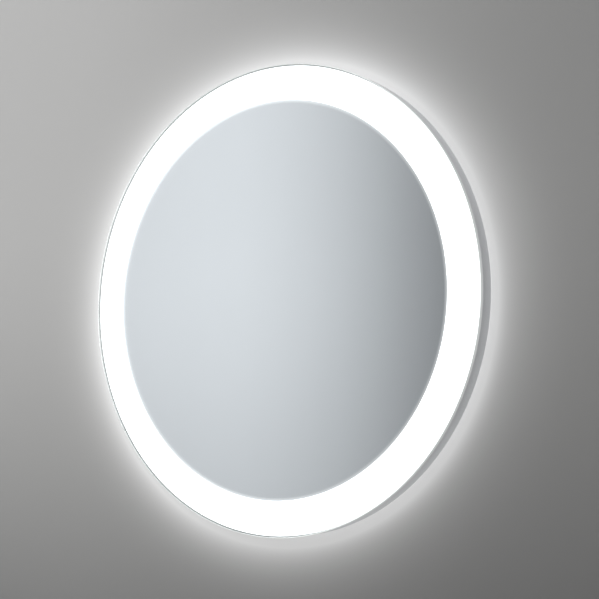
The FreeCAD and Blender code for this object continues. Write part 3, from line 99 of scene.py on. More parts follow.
def anodisedAluminium():
    # extruded, rolled into a hoop and satin anodised: an even grey with a soft sheen and
    # faint lines along the band, drawn coarser than the real ones so that they show
    finish = {
        "darkColour": "#d5d7da", "lightColour": "#dddfe1", "cloudMm": 40,
        "smooth": 0.30, "rough": 0.38,
        "lineMm": 0.7, "lineStretch": (0.01, 1, 0.01), "lineDepthMm": 0.003, "relief": 0.4,
    }
    material, tree, shader = newFinish("anodisedAluminium", {"Metallic": 1.0})
    along = placeIn(tree, finish["lineStretch"])
    lines = addNode(tree, "TexNoise", {"Vector": along, "Scale": perMetre(finish["lineMm"]), "Detail": 4})
    clouds = addNode(tree, "TexNoise", {
        "Vector": placeIn(tree), "Scale": perMetre(finish["cloudMm"]), "Detail": 3,
    })
    colour = addNode(tree, "Mix", {
        "Factor": clouds, "A": toLinear(finish["darkColour"]), "B": toLinear(finish["lightColour"]),
    }, data_type="RGBA")
    roughness = addNode(tree, "MapRange", {
        "Value": lines, "To Min": finish["smooth"], "To Max": finish["rough"],
    })
    relief = addNode(tree, "Bump", {
        "Height": lines, "Strength": finish["relief"], "Distance": toMetres(finish["lineDepthMm"]),
    })
    feed(tree, shader, {"Base Color": colour, "Roughness": roughness, "Normal": relief})
    return material


def millAluminium():
    # strip aluminium as it leaves the rolls: rolling marks round the hoop, over patches that go
    # from dark and glossy to pale and dull
    finish = {
        "darkColour": "#b4b6b8", "lightColour": "#c9cbcc", "patchMm": 25,
        "smooth": 0.22, "rough": 0.36,
        "lineMm": 0.9, "lineStretch": (0.015, 1, 0.015), "lineDepthMm": 0.004, "relief": 0.5,
    }
    material, tree, shader = newFinish("millAluminium", {"Metallic": 1.0})
    along = placeIn(tree, finish["lineStretch"])
    lines = addNode(tree, "TexNoise", {"Vector": along, "Scale": perMetre(finish["lineMm"]), "Detail": 5})
    patches = addNode(tree, "TexNoise", {
        "Vector": placeIn(tree), "Scale": perMetre(finish["patchMm"]), "Detail": 4,
    })
    colour = addNode(tree, "Mix", {
        "Factor": patches, "A": toLinear(finish["darkColour"]), "B": toLinear(finish["lightColour"]),
    }, data_type="RGBA")
    roughness = addNode(tree, "MapRange", {
        "Value": patches, "To Min": finish["smooth"], "To Max": finish["rough"],
    })
    relief = addNode(tree, "Bump", {
        "Height": lines, "Strength": finish["relief"], "Distance": toMetres(finish["lineDepthMm"]),
    })
    feed(tree, shader, {"Base Color": colour, "Roughness": roughness, "Normal": relief})
    return material


def drawnAluminium():
    # rivets, cold headed from drawn wire: bright, with the small pits of the heading tool
    finish = {
        "darkColour": "#a9abad", "lightColour": "#c4c6c8",
        "smooth": 0.25, "rough": 0.42,
        "pitMm": 0.5, "pitDepthMm": 0.01, "relief": 0.5,
    }
    material, tree, shader = newFinish("drawnAluminium", {"Metallic": 1.0})
    pits = addNode(tree, "TexNoise", {
        "Vector": placeIn(tree), "Scale": perMetre(finish["pitMm"]), "Detail": 5,
    })
    colour = addNode(tree, "Mix", {
        "Factor": pits, "A": toLinear(finish["darkColour"]), "B": toLinear(finish["lightColour"]),
    }, data_type="RGBA")
    roughness = addNode(tree, "MapRange", {
        "Value": pits, "To Min": finish["smooth"], "To Max": finish["rough"],
    })
    relief = addNode(tree, "Bump", {
        "Height": pits, "Strength": finish["relief"], "Distance": toMetres(finish["pitDepthMm"]),
    })
    feed(tree, shader, {"Base Color": colour, "Roughness": roughness, "Normal": relief})
    return material


def galvanisedSheet():
    # hot dipped steel sheet: flat crystals of zinc, each with its own grey and its own gloss
    finish = {
        "darkColour": "#a7abae", "lightColour": "#c6c9cb",
        "smooth": 0.34, "rough": 0.50,
        "crystalMm": 9, "grainMm": 1.2, "grainShare": 0.3, "grainDepthMm": 0.006, "relief": 0.5,
    }
    material, tree, shader = newFinish("galvanisedSheet", {"Metallic": 1.0})
    place = placeIn(tree)
    crystals = addNode(tree, "TexVoronoi", {"Vector": place, "Scale": perMetre(finish["crystalMm"])})
    each = addNode(tree, "SeparateColor", {"Color": crystals.outputs["Color"]})
    grain = addNode(tree, "TexNoise", {"Vector": place, "Scale": perMetre(finish["grainMm"]), "Detail": 5})
    tone = addNode(tree, "Mix", {
        "Factor": finish["grainShare"], "A": each.outputs["Red"], "B": grain,
    }, data_type="FLOAT")
    colour = addNode(tree, "Mix", {
        "Factor": tone, "A": toLinear(finish["darkColour"]), "B": toLinear(finish["lightColour"]),
    }, data_type="RGBA")
    roughness = addNode(tree, "MapRange", {
        "Value": each.outputs["Green"], "To Min": finish["smooth"], "To Max": finish["rough"],
    })
    relief = addNode(tree, "Bump", {
        "Height": grain, "Strength": finish["relief"], "Distance": toMetres(finish["grainDepthMm"]),
    })
    feed(tree, shader, {"Base Color": colour, "Roughness": roughness, "Normal": relief})
    return material


def zincPlate():
    # pressed steel, barrel plated with zinc: bluish, with cloudy dull areas and fine scuffs
    # that run from side to side
    finish = {
        "darkColour": "#9ea6ad", "lightColour": "#c6cbcf", "cloudMm": 14,
        "smooth": 0.32, "rough": 0.45,
        "scuffMm": 0.8, "scuffStretch": (0.08, 1, 1), "scuffDepthMm": 0.006, "relief": 0.2,
    }
    material, tree, shader = newFinish("zincPlate", {"Metallic": 1.0})
    clouds = addNode(tree, "TexNoise", {
        "Vector": placeIn(tree), "Scale": perMetre(finish["cloudMm"]), "Detail": 4,
    })
    scuffs = addNode(tree, "TexNoise", {
        "Vector": placeIn(tree, finish["scuffStretch"]), "Scale": perMetre(finish["scuffMm"]), "Detail": 4,
    })
    colour = addNode(tree, "Mix", {
        "Factor": clouds, "A": toLinear(finish["darkColour"]), "B": toLinear(finish["lightColour"]),
    }, data_type="RGBA")
    roughness = addNode(tree, "MapRange", {
        "Value": clouds, "To Min": finish["smooth"], "To Max": finish["rough"],
    })
    relief = addNode(tree, "Bump", {
        "Height": scuffs, "Strength": finish["relief"], "Distance": toMetres(finish["scuffDepthMm"]),
    })
    feed(tree, shader, {"Base Color": colour, "Roughness": roughness, "Normal": relief})
    return material


def screwSteel():
    # cold headed steel, zinc plated and passivated: a faint yellow tinge over fine wear
    finish = {
        "darkColour": "#8b8e8c", "lightColour": "#bfc0b7",
        "smooth": 0.24, "rough": 0.42,
        "wearMm": 0.7, "wearDepthMm": 0.008, "relief": 0.4,
    }
    material, tree, shader = newFinish("screwSteel", {"Metallic": 1.0})
    wear = addNode(tree, "TexNoise", {
        "Vector": placeIn(tree), "Scale": perMetre(finish["wearMm"]), "Detail": 4,
    })
    colour = addNode(tree, "Mix", {
        "Factor": wear, "A": toLinear(finish["darkColour"]), "B": toLinear(finish["lightColour"]),
    }, data_type="RGBA")
    roughness = addNode(tree, "MapRange", {
        "Value": wear, "To Min": finish["smooth"], "To Max": finish["rough"],
    })
    relief = addNode(tree, "Bump", {
        "Height": wear, "Strength": finish["relief"], "Distance": toMetres(finish["wearDepthMm"]),
    })
    feed(tree, shader, {"Base Color": colour, "Roughness": roughness, "Normal": relief})
    return material


def turnedBrass():
    # brass left bare, turned for the screws and stamped for the lug: warm yellow, slightly
    # tarnished in the hollows
    finish = {
        "darkColour": "#8a6a2e", "lightColour": "#c9a659",
        "smooth": 0.22, "rough": 0.38,
        "markMm": 0.4, "markStretch": (1, 0.2, 1), "markDepthMm": 0.006, "relief": 0.4,
    }
    material, tree, shader = newFinish("turnedBrass", {"Metallic": 1.0})
    marks = addNode(tree, "TexNoise", {
        "Vector": placeIn(tree, finish["markStretch"]), "Scale": perMetre(finish["markMm"]), "Detail": 4,
    })
    colour = addNode(tree, "Mix", {
        "Factor": marks, "A": toLinear(finish["darkColour"]), "B": toLinear(finish["lightColour"]),
    }, data_type="RGBA")
    roughness = addNode(tree, "MapRange", {
        "Value": marks, "To Min": finish["smooth"], "To Max": finish["rough"],
    })
    relief = addNode(tree, "Bump", {
        "Height": marks, "Strength": finish["relief"], "Distance": toMetres(finish["markDepthMm"]),
    })
    feed(tree, shader, {"Base Color": colour, "Roughness": roughness, "Normal": relief})
    return material


def powderCoat():
    # polyester powder baked on sheet steel: white, with the fine dimples of orange peel
    finish = {
        "darkColour": "#d6d6d4", "lightColour": "#e2e2e0", "ior": 1.5,
        "smooth": 0.36, "rough": 0.46,
        "peelMm": 1.1, "peelDepthMm": 0.02, "relief": 0.6,
    }
    material, tree, shader = newFinish("powderCoat", {"IOR": finish["ior"]})
    peel = addNode(tree, "TexNoise", {
        "Vector": placeIn(tree), "Scale": perMetre(finish["peelMm"]), "Detail": 2,
    })
    colour = addNode(tree, "Mix", {
        "Factor": peel, "A": toLinear(finish["darkColour"]), "B": toLinear(finish["lightColour"]),
    }, data_type="RGBA")
    roughness = addNode(tree, "MapRange", {
        "Value": peel, "To Min": finish["smooth"], "To Max": finish["rough"],
    })
    relief = addNode(tree, "Bump", {
        "Height": peel, "Strength": finish["relief"], "Distance": toMetres(finish["peelDepthMm"]),
    })
    feed(tree, shader, {"Base Color": colour, "Roughness": roughness, "Normal": relief})
    return material


def floatGlass():
    # clear float glass, 6 mm: polished faces, and an edge that is ground and only half polished.
    # The edge is made dark and given a painted pale grey glow, in place of the lit band's light
    # that the ground edge scatters
    finish = {
        "colour": "#fafdfc", "ior": 1.52,
        "edgeMm": 0.9, "edgeRoughness": 0.4,
        "edgeColour": "#2b302e", "glowColour": "#f4f8f7", "paintedEdgeGlow": 0.5,
        "streakMm": 1.5, "streakStretch": (0.02, 1, 0.02), "patchLow": 0.85, "patchHigh": 1.15,
    }
    material, tree, shader = newFinish("floatGlass", {
        "IOR": finish["ior"], "Transmission Weight": 1.0, "Emission Color": toLinear(finish["glowColour"]),
    })
    radius = radiusIn(tree)
    streaks = addNode(tree, "TexNoise", {
        "Vector": placeIn(tree, finish["streakStretch"]), "Scale": perMetre(finish["streakMm"]), "Detail": 3,
    })
    ground = addNode(tree, "MapRange", {
        "Value": radius,
        "From Min": glassRadius - toMetres(finish["edgeMm"]),
        "From Max": glassRadius - toMetres(finish["edgeMm"]) / 2,
    })
    patchy = addNode(tree, "MapRange", {
        "Value": streaks, "To Min": finish["patchLow"], "To Max": finish["patchHigh"],
    })
    groundAndPaintedGlow = addNode(tree, "Math", {"Value": ground, "Value_001": patchy}, operation="MULTIPLY")
    roughness = addNode(tree, "Math", {
        "Value": groundAndPaintedGlow, "Value_001": finish["edgeRoughness"],
    }, operation="MULTIPLY")
    # painted glow on the ground edge, standing in for scattered light from the lit band
    paintedGlow = addNode(tree, "Math", {"Value": groundAndPaintedGlow, "Value_001": finish["paintedEdgeGlow"]}, operation="MULTIPLY")
    colour = addNode(tree, "Mix", {
        "Factor": ground, "A": toLinear(finish["colour"]), "B": toLinear(finish["edgeColour"]),
    }, data_type="RGBA")
    feed(tree, shader, {"Base Color": colour, "Roughness": roughness, "Emission Strength": paintedGlow})
    return material


def silvering():
    # silver under paint, seen through the glass: a clean mirror with a slightly cool tone. Its
    # edge is blasted away, which thins the silver over the last few millimetres; there a painted
    # glow stands in for the little of the band's light that comes through
    finish = {
        "darkColour": "#f0f1f8", "lightColour": "#f2f3fa", "cloudMm": 120,
        "thinMm": 5.0, "paintedLeak": 0.3, "paintedLeakColour": "#ffffff",
    }
    material, tree, shader = newFinish("silvering", {
        "Metallic": 1.0, "Roughness": 0.0, "Emission Color": toLinear(finish["paintedLeakColour"]),
    })
    clouds = addNode(tree, "TexNoise", {
        "Vector": placeIn(tree), "Scale": perMetre(finish["cloudMm"]), "Detail": 2,
    })
    colour = addNode(tree, "Mix", {
        "Factor": clouds, "A": toLinear(finish["darkColour"]), "B": toLinear(finish["lightColour"]),
    }, data_type="RGBA")
    # painted glow that grows towards the thinned edge of the silver
    paintedLeak = addNode(tree, "MapRange", {
        "Value": radiusIn(tree),
        "From Min": silverRadius - toMetres(finish["thinMm"]), "From Max": silverRadius,
        "To Min": 0.0, "To Max": finish["paintedLeak"],
    }, interpolation_type="SMOOTHSTEP")
    feed(tree, shader, {"Base Color": colour, "Emission Strength": paintedLeak})
    return material


def opalAcrylic():
    # cast opal acrylic lit from behind: an even white glow, with faint clouds about as wide as
    # the lamps behind it are apart
    finish = {
        "colour": "#f4f4f2", "ior": 1.49, "roughness": 0.35,
        "glowColour": "#fdfdff", "strength": 1.7, "unevenness": 0.04, "cloudMm": 17,
    }
    material, tree, shader = newFinish("opalAcrylic", {
        "Base Color": toLinear(finish["colour"]), "Roughness": finish["roughness"], "IOR": finish["ior"],
        "Emission Color": toLinear(finish["glowColour"]),
    })
    clouds = addNode(tree, "TexNoise", {
        "Vector": placeIn(tree), "Scale": perMetre(finish["cloudMm"]), "Detail": 1,
    })
    strength = addNode(tree, "MapRange", {
        "Value": clouds,
        "To Min": finish["strength"] * (1 - finish["unevenness"]),
        "To Max": finish["strength"] * (1 + finish["unevenness"]),
    })
    feed(tree, shader, {"Emission Strength": strength})
    return material


def opalPolycarbonate():
    # extruded opal polycarbonate over the rear lamps: it glows, with faint extrusion lines, and
    # throws light on the wall
    finish = {
        "colour": "#eeeeec", "ior": 1.58, "roughness": 0.4,
        "glowColour": "#fdfdff", "strength": 2.3, "unevenness": 0.06,
        "lineMm": 0.8, "lineStretch": (0.02, 1, 0.02),
    }
    material, tree, shader = newFinish("opalPolycarbonate", {
        "Base Color": toLinear(finish["colour"]), "Roughness": finish["roughness"], "IOR": finish["ior"],
        "Emission Color": toLinear(finish["glowColour"]),
    })
    lines = addNode(tree, "TexNoise", {
        "Vector": placeIn(tree, finish["lineStretch"]), "Scale": perMetre(finish["lineMm"]), "Detail": 2,
    })
    strength = addNode(tree, "MapRange", {
        "Value": lines,
        "To Min": finish["strength"] * (1 - finish["unevenness"]),
        "To Max": finish["strength"] * (1 + finish["unevenness"]),
    })
    feed(tree, shader, {"Emission Strength": strength})
    return material


def mouldedPlastic(name, finish):
    # a fine even grain over faint clouds of tone, as an eroded mould leaves on a plastic part;
    # with other numbers it serves rubber, foam, film and cable sheath
    material, tree, shader = newFinish(name, {"IOR": finish["ior"]})
    place = placeIn(tree)
    grain = addNode(tree, "TexNoise", {"Vector": place, "Scale": perMetre(finish["grainMm"]), "Detail": 3})
    clouds = addNode(tree, "TexNoise", {"Vector": place, "Scale": perMetre(finish["cloudMm"]), "Detail": 3})
    colour = addNode(tree, "Mix", {
        "Factor": clouds, "A": toLinear(finish["darkColour"]), "B": toLinear(finish["lightColour"]),
    }, data_type="RGBA")
    roughness = addNode(tree, "MapRange", {
        "Value": grain, "To Min": finish["smooth"], "To Max": finish["rough"],
    })
    relief = addNode(tree, "Bump", {
        "Height": grain, "Strength": finish["relief"], "Distance": toMetres(finish["grainDepthMm"]),
    })
    feed(tree, shader, {"Base Color": colour, "Roughness": roughness, "Normal": relief})
    return material


boxPlastic = {  # flame retardant ABS blend, moulded: warm light grey, matt
    "darkColour": "#c9c8c2", "lightColour": "#d3d2cd", "ior": 1.53, "cloudMm": 18,
    "smooth": 0.45, "rough": 0.6, "grainMm": 0.6, "grainDepthMm": 0.015, "relief": 0.5,
}
nylonPlastic = {  # natural nylon, moulded: creamy and a little glossier
    "darkColour": "#cfcbbd", "lightColour": "#dcd9ce", "ior": 1.53, "cloudMm": 9,
    "smooth": 0.32, "rough": 0.46, "grainMm": 0.9, "grainDepthMm": 0.008, "relief": 0.5,
}
rubberMix = {  # EPDM, moulded: near black with a grey bloom
    "darkColour": "#19191a", "lightColour": "#2b2b2c", "ior": 1.52, "cloudMm": 6,
    "smooth": 0.55, "rough": 0.75, "grainMm": 0.5, "grainDepthMm": 0.02, "relief": 0.5,
}
foamTape = {  # closed cell acrylic foam, slit to width: dark, and pitted by its cut cells
    "darkColour": "#222324", "lightColour": "#38393a", "ior": 1.48, "cloudMm": 5,
    "smooth": 0.7, "rough": 0.9, "grainMm": 0.4, "grainDepthMm": 0.08, "relief": 0.5,
}
reflectorFilm = {  # foamed white polyester film: very pale, with an even matt face
    "darkColour": "#e4e5e5", "lightColour": "#eeeeee", "ior": 1.57, "cloudMm": 30,
    "smooth": 0.5, "rough": 0.62, "grainMm": 0.7, "grainDepthMm": 0.006, "relief": 0.5,
}
componentEpoxy = {  # epoxy, moulded round the small parts: near black, a little glossy
    "darkColour": "#17181a", "lightColour": "#242629", "ior": 1.55, "cloudMm": 4,
    "smooth": 0.35, "rough": 0.5, "grainMm": 0.4, "grainDepthMm": 0.01, "relief": 0.5,
}
cableSheath = {  # soft PVC, extruded: white, with a slight unevenness in its gloss
    "darkColour": "#dcdcda", "lightColour": "#e8e8e6", "ior": 1.54, "cloudMm": 20,
    "smooth": 0.35, "rough": 0.48, "grainMm": 1.2, "grainDepthMm": 0.02, "relief": 0.5,
}


def siliconeBead():
    # translucent grey silicone between the glass and the band, tooled while wet: a faint painted
    # glow stands in for the light it takes from the lit ring beside it, and it draws a thin grey
    # line round the rim
    finish = {
        "darkColour": "#a3a6a8", "lightColour": "#b6b9ba", "ior": 1.41, "roughness": 0.35,
        # a faint painted glow, in place of light from the lit ring
        "glowColour": "#ffffff", "strength": 0.05,
        "rippleMm": 2.5, "rippleDepthMm": 0.03, "relief": 0.4,
    }
    material, tree, shader = newFinish("siliconeBead", {
        "Roughness": finish["roughness"], "IOR": finish["ior"],
        "Emission Color": toLinear(finish["glowColour"]), "Emission Strength": finish["strength"],
    })
    ripple = addNode(tree, "TexNoise", {
        "Vector": placeIn(tree), "Scale": perMetre(finish["rippleMm"]), "Detail": 2,
    })
    colour = addNode(tree, "Mix", {
        "Factor": ripple, "A": toLinear(finish["darkColour"]), "B": toLinear(finish["lightColour"]),
    }, data_type="RGBA")
    relief = addNode(tree, "Bump", {
        "Height": ripple, "Strength": finish["relief"], "Distance": toMetres(finish["rippleDepthMm"]),
    })
    feed(tree, shader, {"Base Color": colour, "Normal": relief})
    return material


def earthSheath():
    # extruded PVC round the core of an earth lead: yellow, with a green stripe along the front
    # and the back of the lead
    finish = {
        "yellow": "#d8c21c", "green": "#2f8a2e", "stripeMm": 1.1, "ior": 1.54, "roughness": 0.42,
        "grainMm": 0.6, "grainDepthMm": 0.01, "relief": 0.2,
    }
    material, tree, shader = newFinish("earthSheath", {
        "Roughness": finish["roughness"], "IOR": finish["ior"],
    })
    low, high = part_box("earth_lead")
    own = addNode(tree, "TexCoord").outputs["Object"]
    across = addNode(tree, "SeparateXYZ", {"Vector": own})
    aside = addNode(tree, "Math", {
        "Value": across.outputs["X"], "Value_001": (low.x + high.x) / 2,
    }, operation="SUBTRACT")
    side = addNode(tree, "Math", {"Value": aside}, operation="ABSOLUTE")
    beside = addNode(tree, "Math", {
        "Value": side, "Value_001": toMetres(finish["stripeMm"]) / 2,
    }, operation="GREATER_THAN")
    colour = addNode(tree, "Mix", {
        "Factor": beside, "A": toLinear(finish["green"]), "B": toLinear(finish["yellow"]),
    }, data_type="RGBA")
    grain = addNode(tree, "TexNoise", {"Vector": placeIn(tree), "Scale": perMetre(finish["grainMm"])})
    relief = addNode(tree, "Bump", {
        "Height": grain, "Strength": finish["relief"], "Distance": toMetres(finish["grainDepthMm"]),
    })
    feed(tree, shader, {"Base Color": colour, "Normal": relief})
    return material


def flexCircuit():
    # polyimide strip under white solder mask: long copper tracks show as faint ridges
    finish = {
        "maskColour": "#e9e9e2", "trackColour": "#d8d3bd", "ior": 1.5, "roughness": 0.38,
        "trackMm": 2.6, "trackWaver": 0.4, "trackDepthMm": 0.03, "relief": 0.3,
    }
    material, tree, shader = newFinish("flexCircuit", {
        "Roughness": finish["roughness"], "IOR": finish["ior"],
    })
    # at scale 1 the wave turns by 20 radians a metre
    tracks = addNode(tree, "TexWave", {
        "Vector": placeIn(tree), "Scale": perMetre(finish["trackMm"]) * math.tau / 20,
        "Distortion": finish["trackWaver"], "Detail": 1,
    }, bands_direction="Y")
    ridges = tracks.outputs["Fac"]
    colour = addNode(tree, "Mix", {
        "Factor": ridges, "A": toLinear(finish["maskColour"]), "B": toLinear(finish["trackColour"]),
    }, data_type="RGBA")
    relief = addNode(tree, "Bump", {
        "Height": ridges, "Strength": finish["relief"], "Distance": toMetres(finish["trackDepthMm"]),
    })
    feed(tree, shader, {"Base Color": colour, "Normal": relief})
    return material


def lampResin():
    # phosphor in clear silicone, lit: pale yellow grains in a white glow
    finish = {
        "darkColour": "#e8d98a", "lightColour": "#f4eec4", "grainMm": 0.25,
        "ior": 1.41, "roughness": 0.25, "glowColour": "#fff8e6", "strength": 6.0,
    }
    material, tree, shader = newFinish("lampResin", {
        "Roughness": finish["roughness"], "IOR": finish["ior"],
        "Emission Color": toLinear(finish["glowColour"]), "Emission Strength": finish["strength"],
    })
    grain = addNode(tree, "TexNoise", {
        "Vector": placeIn(tree), "Scale": perMetre(finish["grainMm"]), "Detail": 3,
    })
    colour = addNode(tree, "Mix", {
        "Factor": grain, "A": toLinear(finish["darkColour"]), "B": toLinear(finish["lightColour"]),
    }, data_type="RGBA")
    feed(tree, shader, {"Base Color": colour})
    return material


def solderMask():
    # glass fibre board under green mask: copper shows paler in a square-cornered net, over a
    # faint weave
    finish = {
        "maskColour": "#14502a", "trackColour": "#2c7a45", "ior": 1.52, "roughness": 0.3,
        "trackMm": 3.5, "trackFrom": 0.42,
        "weaveMm": 0.6, "weaveDepthMm": 0.02, "relief": 0.2,
    }
    material, tree, shader = newFinish("solderMask", {
        "Roughness": finish["roughness"], "IOR": finish["ior"],
    })
    place = placeIn(tree)
    cells = addNode(tree, "TexVoronoi", {
        "Vector": place, "Scale": perMetre(finish["trackMm"]),
    }, feature="F1", distance="CHEBYCHEV")
    tracks = addNode(tree, "Math", {
        "Value": cells, "Value_001": finish["trackFrom"],
    }, operation="GREATER_THAN")
    colour = addNode(tree, "Mix", {
        "Factor": tracks, "A": toLinear(finish["maskColour"]), "B": toLinear(finish["trackColour"]),
    }, data_type="RGBA")
    weave = addNode(tree, "TexNoise", {"Vector": place, "Scale": perMetre(finish["weaveMm"])})
    relief = addNode(tree, "Bump", {
        "Height": weave, "Strength": finish["relief"], "Distance": toMetres(finish["weaveDepthMm"]),
    })
    feed(tree, shader, {"Base Color": colour, "Normal": relief})
    return material


dress(floatGlass(), "mirror_glass")
dress(silvering(), "silver_backing")
dress(opalAcrylic(), "front_diffuser")
dress(opalPolycarbonate(), "rear_led_cover")
dress(anodisedAluminium(), "side_frame")
dress(millAluminium(), "carrier_ring", "rear_led_channel", "frame_joint_plate")
dress(drawnAluminium(), "rear_channel_rivets", "hanger_rivets")
dress(galvanisedSheet(), "back_pan")
dress(zincPlate(), "wall_rail", "hanger_left", "hanger_right")
dress(screwSteel(), "joint_plate_screws", "pan_screws", "carrier_screws", "lid_screw", "terminal_box_screws",
      "cord_clamp_screws", "driver_screws", "lid_hinge_pin", "earth_stud", "earth_nuts")
dress(turnedBrass(), "terminal_screws", "earth_lug")
dress(powderCoat(), "driver_base", "driver_cover")
dress(mouldedPlastic("boxPlastic", boxPlastic), "terminal_box", "terminal_lid", "cord_clamp")
dress(mouldedPlastic("nylonPlastic", nylonPlastic), "terminal_block", "mains_lead_clips", "led_lead_clips")
dress(mouldedPlastic("rubberMix", rubberMix), "supply_grommet", "lead_grommet", "wall_bumpers")
dress(siliconeBead(), "edge_seal")
dress(mouldedPlastic("foamTape", foamTape), "glass_tape")
dress(mouldedPlastic("reflectorFilm", reflectorFilm), "light_reflector")
dress(mouldedPlastic("componentEpoxy", componentEpoxy), "driver_parts")
dress(mouldedPlastic("cableSheath", cableSheath), "mains_lead", "front_led_lead", "rear_led_lead")
dress(earthSheath(), "earth_lead")
dress(flexCircuit(), "front_led_strip", "rear_led_strip")
dress(lampResin(), "front_leds", "rear_leds")
dress(solderMask(), "driver_board")
print("finishes made:", len({o.material_slots[0].material.name for o in nodes.values()}))

studio = {
    # painted shade: the wall gets darker to the right and lower down, in place of the light's falloff
    "wallColour": "#bdbdbd", "rightShare": 0.575, "lowShare": 0.25,
    "rightFrom": -0.416, "rightTo": 0.556, "lowFrom": 0.057, "lowTo": -0.9,
    "wallRoughness": 0.9, "paintGloss": 0.2,
    # a disc with a hole, set just behind Y = 0 so that no piece shares a face with it
    "wallY": 0.0006, "wallRadius": 6.0, "holeRadius": 0.27, "wallSides": 96,
    "floorColour": "#efeeea", "floorRoughness": 0.85, "floorZ": -1.6, "floorDepth": 5.0, "floorHalf": 6.0,
    # painted glow on the wall round the outline of the mirror, added to the real light of the
    # rear cover; set to the left, where it is stronger
    "glowCentre": (-0.017, 0, -0.111), "glowShape": (1, 0, 1.015), "glowRadius": 0.320,
    "glowReachMm": 25, "glowStrength": 0.425, "glowColour": "#ffffff",
    "ambientColour": "#ffffff", "ambient": 0.5, "backgroundColour": "#d9d9d9",
}


def sheetOf(name, corners, faces):
    mesh = bpy.data.meshes.new(name)
    mesh.from_pydata(corners, [], faces)
    thing = bpy.data.objects.new(name, mesh)
    bpy.context.scene.collection.objects.link(thing)
    return thing


def wallPaint():
    # matt emulsion, rolled on: hardly any gloss, with painted shade that makes it darker to the
    # right and lower down in place of the light's falloff, and a painted glow round the mirror.
    # The camera looks through the wall from behind, and the wall throws no shadow
    material, tree, shader = newFinish("wallPaint", {
        "Roughness": studio["wallRoughness"], "Specular IOR Level": studio["paintGloss"],
        "Emission Color": toLinear(studio["glowColour"]),
    })
    own = addNode(tree, "TexCoord").outputs["Object"]
    spot = addNode(tree, "SeparateXYZ", {"Vector": own})
    # painted shade, darker to the right and lower down, standing in for the falloff of the light
    paintedShadeRight = addNode(tree, "MapRange", {
        "Value": spot.outputs["X"], "From Min": studio["rightFrom"], "From Max": studio["rightTo"],
        "To Min": 1.0, "To Max": studio["rightShare"],
    }, interpolation_type="SMOOTHSTEP")
    paintedShadeLow = addNode(tree, "MapRange", {
        "Value": spot.outputs["Z"], "From Min": studio["lowTo"], "From Max": studio["lowFrom"],
        "To Min": studio["lowShare"], "To Max": 1.0,
    }, interpolation_type="SMOOTHSTEP")
    share = addNode(tree, "Math", {"Value": paintedShadeRight, "Value_001": paintedShadeLow}, operation="MULTIPLY")
    paintWithPaintedShade = addNode(tree, "VectorMath", {
        "Vector": toLinear(studio["wallColour"])[:3], "Scale": share,
    }, operation="SCALE")
    # the painted glow is full inside its oval and fades outwards by a factor e in each reach
    aside = addNode(tree, "VectorMath", {
        "Vector": own, "Vector_001": studio["glowCentre"],
    }, operation="SUBTRACT")
    flat = addNode(tree, "VectorMath", {
        "Vector": aside, "Vector_001": studio["glowShape"],
    }, operation="MULTIPLY")
    out = addNode(tree, "VectorMath", {"Vector": flat}, operation="LENGTH").outputs["Value"]
    beyond = addNode(tree, "Math", {"Value": out, "Value_001": studio["glowRadius"]}, operation="SUBTRACT")
    clear = addNode(tree, "Math", {"Value": beyond, "Value_001": 0.0}, operation="MAXIMUM")
    fade = addNode(tree, "Math", {
        "Value": clear, "Value_001": -toMetres(studio["glowReachMm"]),
    }, operation="DIVIDE")
    fall = addNode(tree, "Math", {"Value": fade}, operation="EXPONENT")
    paintedGlow = addNode(tree, "Math", {
        "Value": fall, "Value_001": studio["glowStrength"],
    }, operation="MULTIPLY")
    feed(tree, shader, {"Base Color": paintWithPaintedShade, "Emission Strength": paintedGlow})
    back = addNode(tree, "NewGeometry").outputs["Backfacing"]
    shadow = addNode(tree, "LightPath").outputs["Is Shadow Ray"]
    through = addNode(tree, "Math", {"Value": back, "Value_001": shadow}, operation="MAXIMUM")
    mixed = addNode(tree, "MixShader", {
        "Fac": through, "Shader": shader.outputs["BSDF"], "Shader_001": addNode(tree, "BsdfTransparent"),
    })
    feed(tree, tree.nodes["Material Output"], {"Surface": mixed})
    return material


def floorPaint():
    # matt floor paint: plain, pale and soft under the light
    return newFinish("floorPaint", {
        "Base Color": toLinear(studio["floorColour"]),
        "Roughness": studio["floorRoughness"], "Specular IOR Level": studio["paintGloss"],
    })[0]


def makeStage():
    # the wall is open behind the mirror, where it never shows, so that the back gets light
    sides = studio["wallSides"]
    turns = [math.tau * k / sides for k in range(sides)]
    corners = [
        (radius * math.cos(t), studio["wallY"], mirrorCentre.z + radius * math.sin(t))
        for radius in (studio["holeRadius"], studio["wallRadius"]) for t in turns
    ]
    faces = [(k, sides + k, sides + (k + 1) % sides, (k + 1) % sides) for k in range(sides)]
    wall = sheetOf("studioWall", corners, faces)
    wall.data.materials.append(wallPaint())
    half, depth, z = studio["floorHalf"], studio["floorDepth"], studio["floorZ"]
    corners = [(-half, -depth, z), (half, -depth, z), (half, depth, z), (-half, depth, z)]
    floor = sheetOf("studioFloor", corners, [(0, 1, 2, 3)])
    floor.data.materials.append(floorPaint())


# what the mirror and the metal reflect: soft panels of light all round the studio, each given
# as its bearing in degrees, from -Y towards +X, and its level
panels = [
    (-180, 0.70), (-80, 0.62), (-58, 0.66), (-48, 0.75), (-44, 0.80), (-41, 0.85), (-38, 0.87), (-35.5, 0.77),
    (-33, 0.61), (-31, 0.43), (-29, 0.29), (-26, 0.22), (-20, 0.34), (0, 0.62), (45, 0.70), (180, 0.70),
]
panelFade = {"low": -13, "high": 7, "lowShare": 0.55}  # degrees of height; dimmer towards the floor


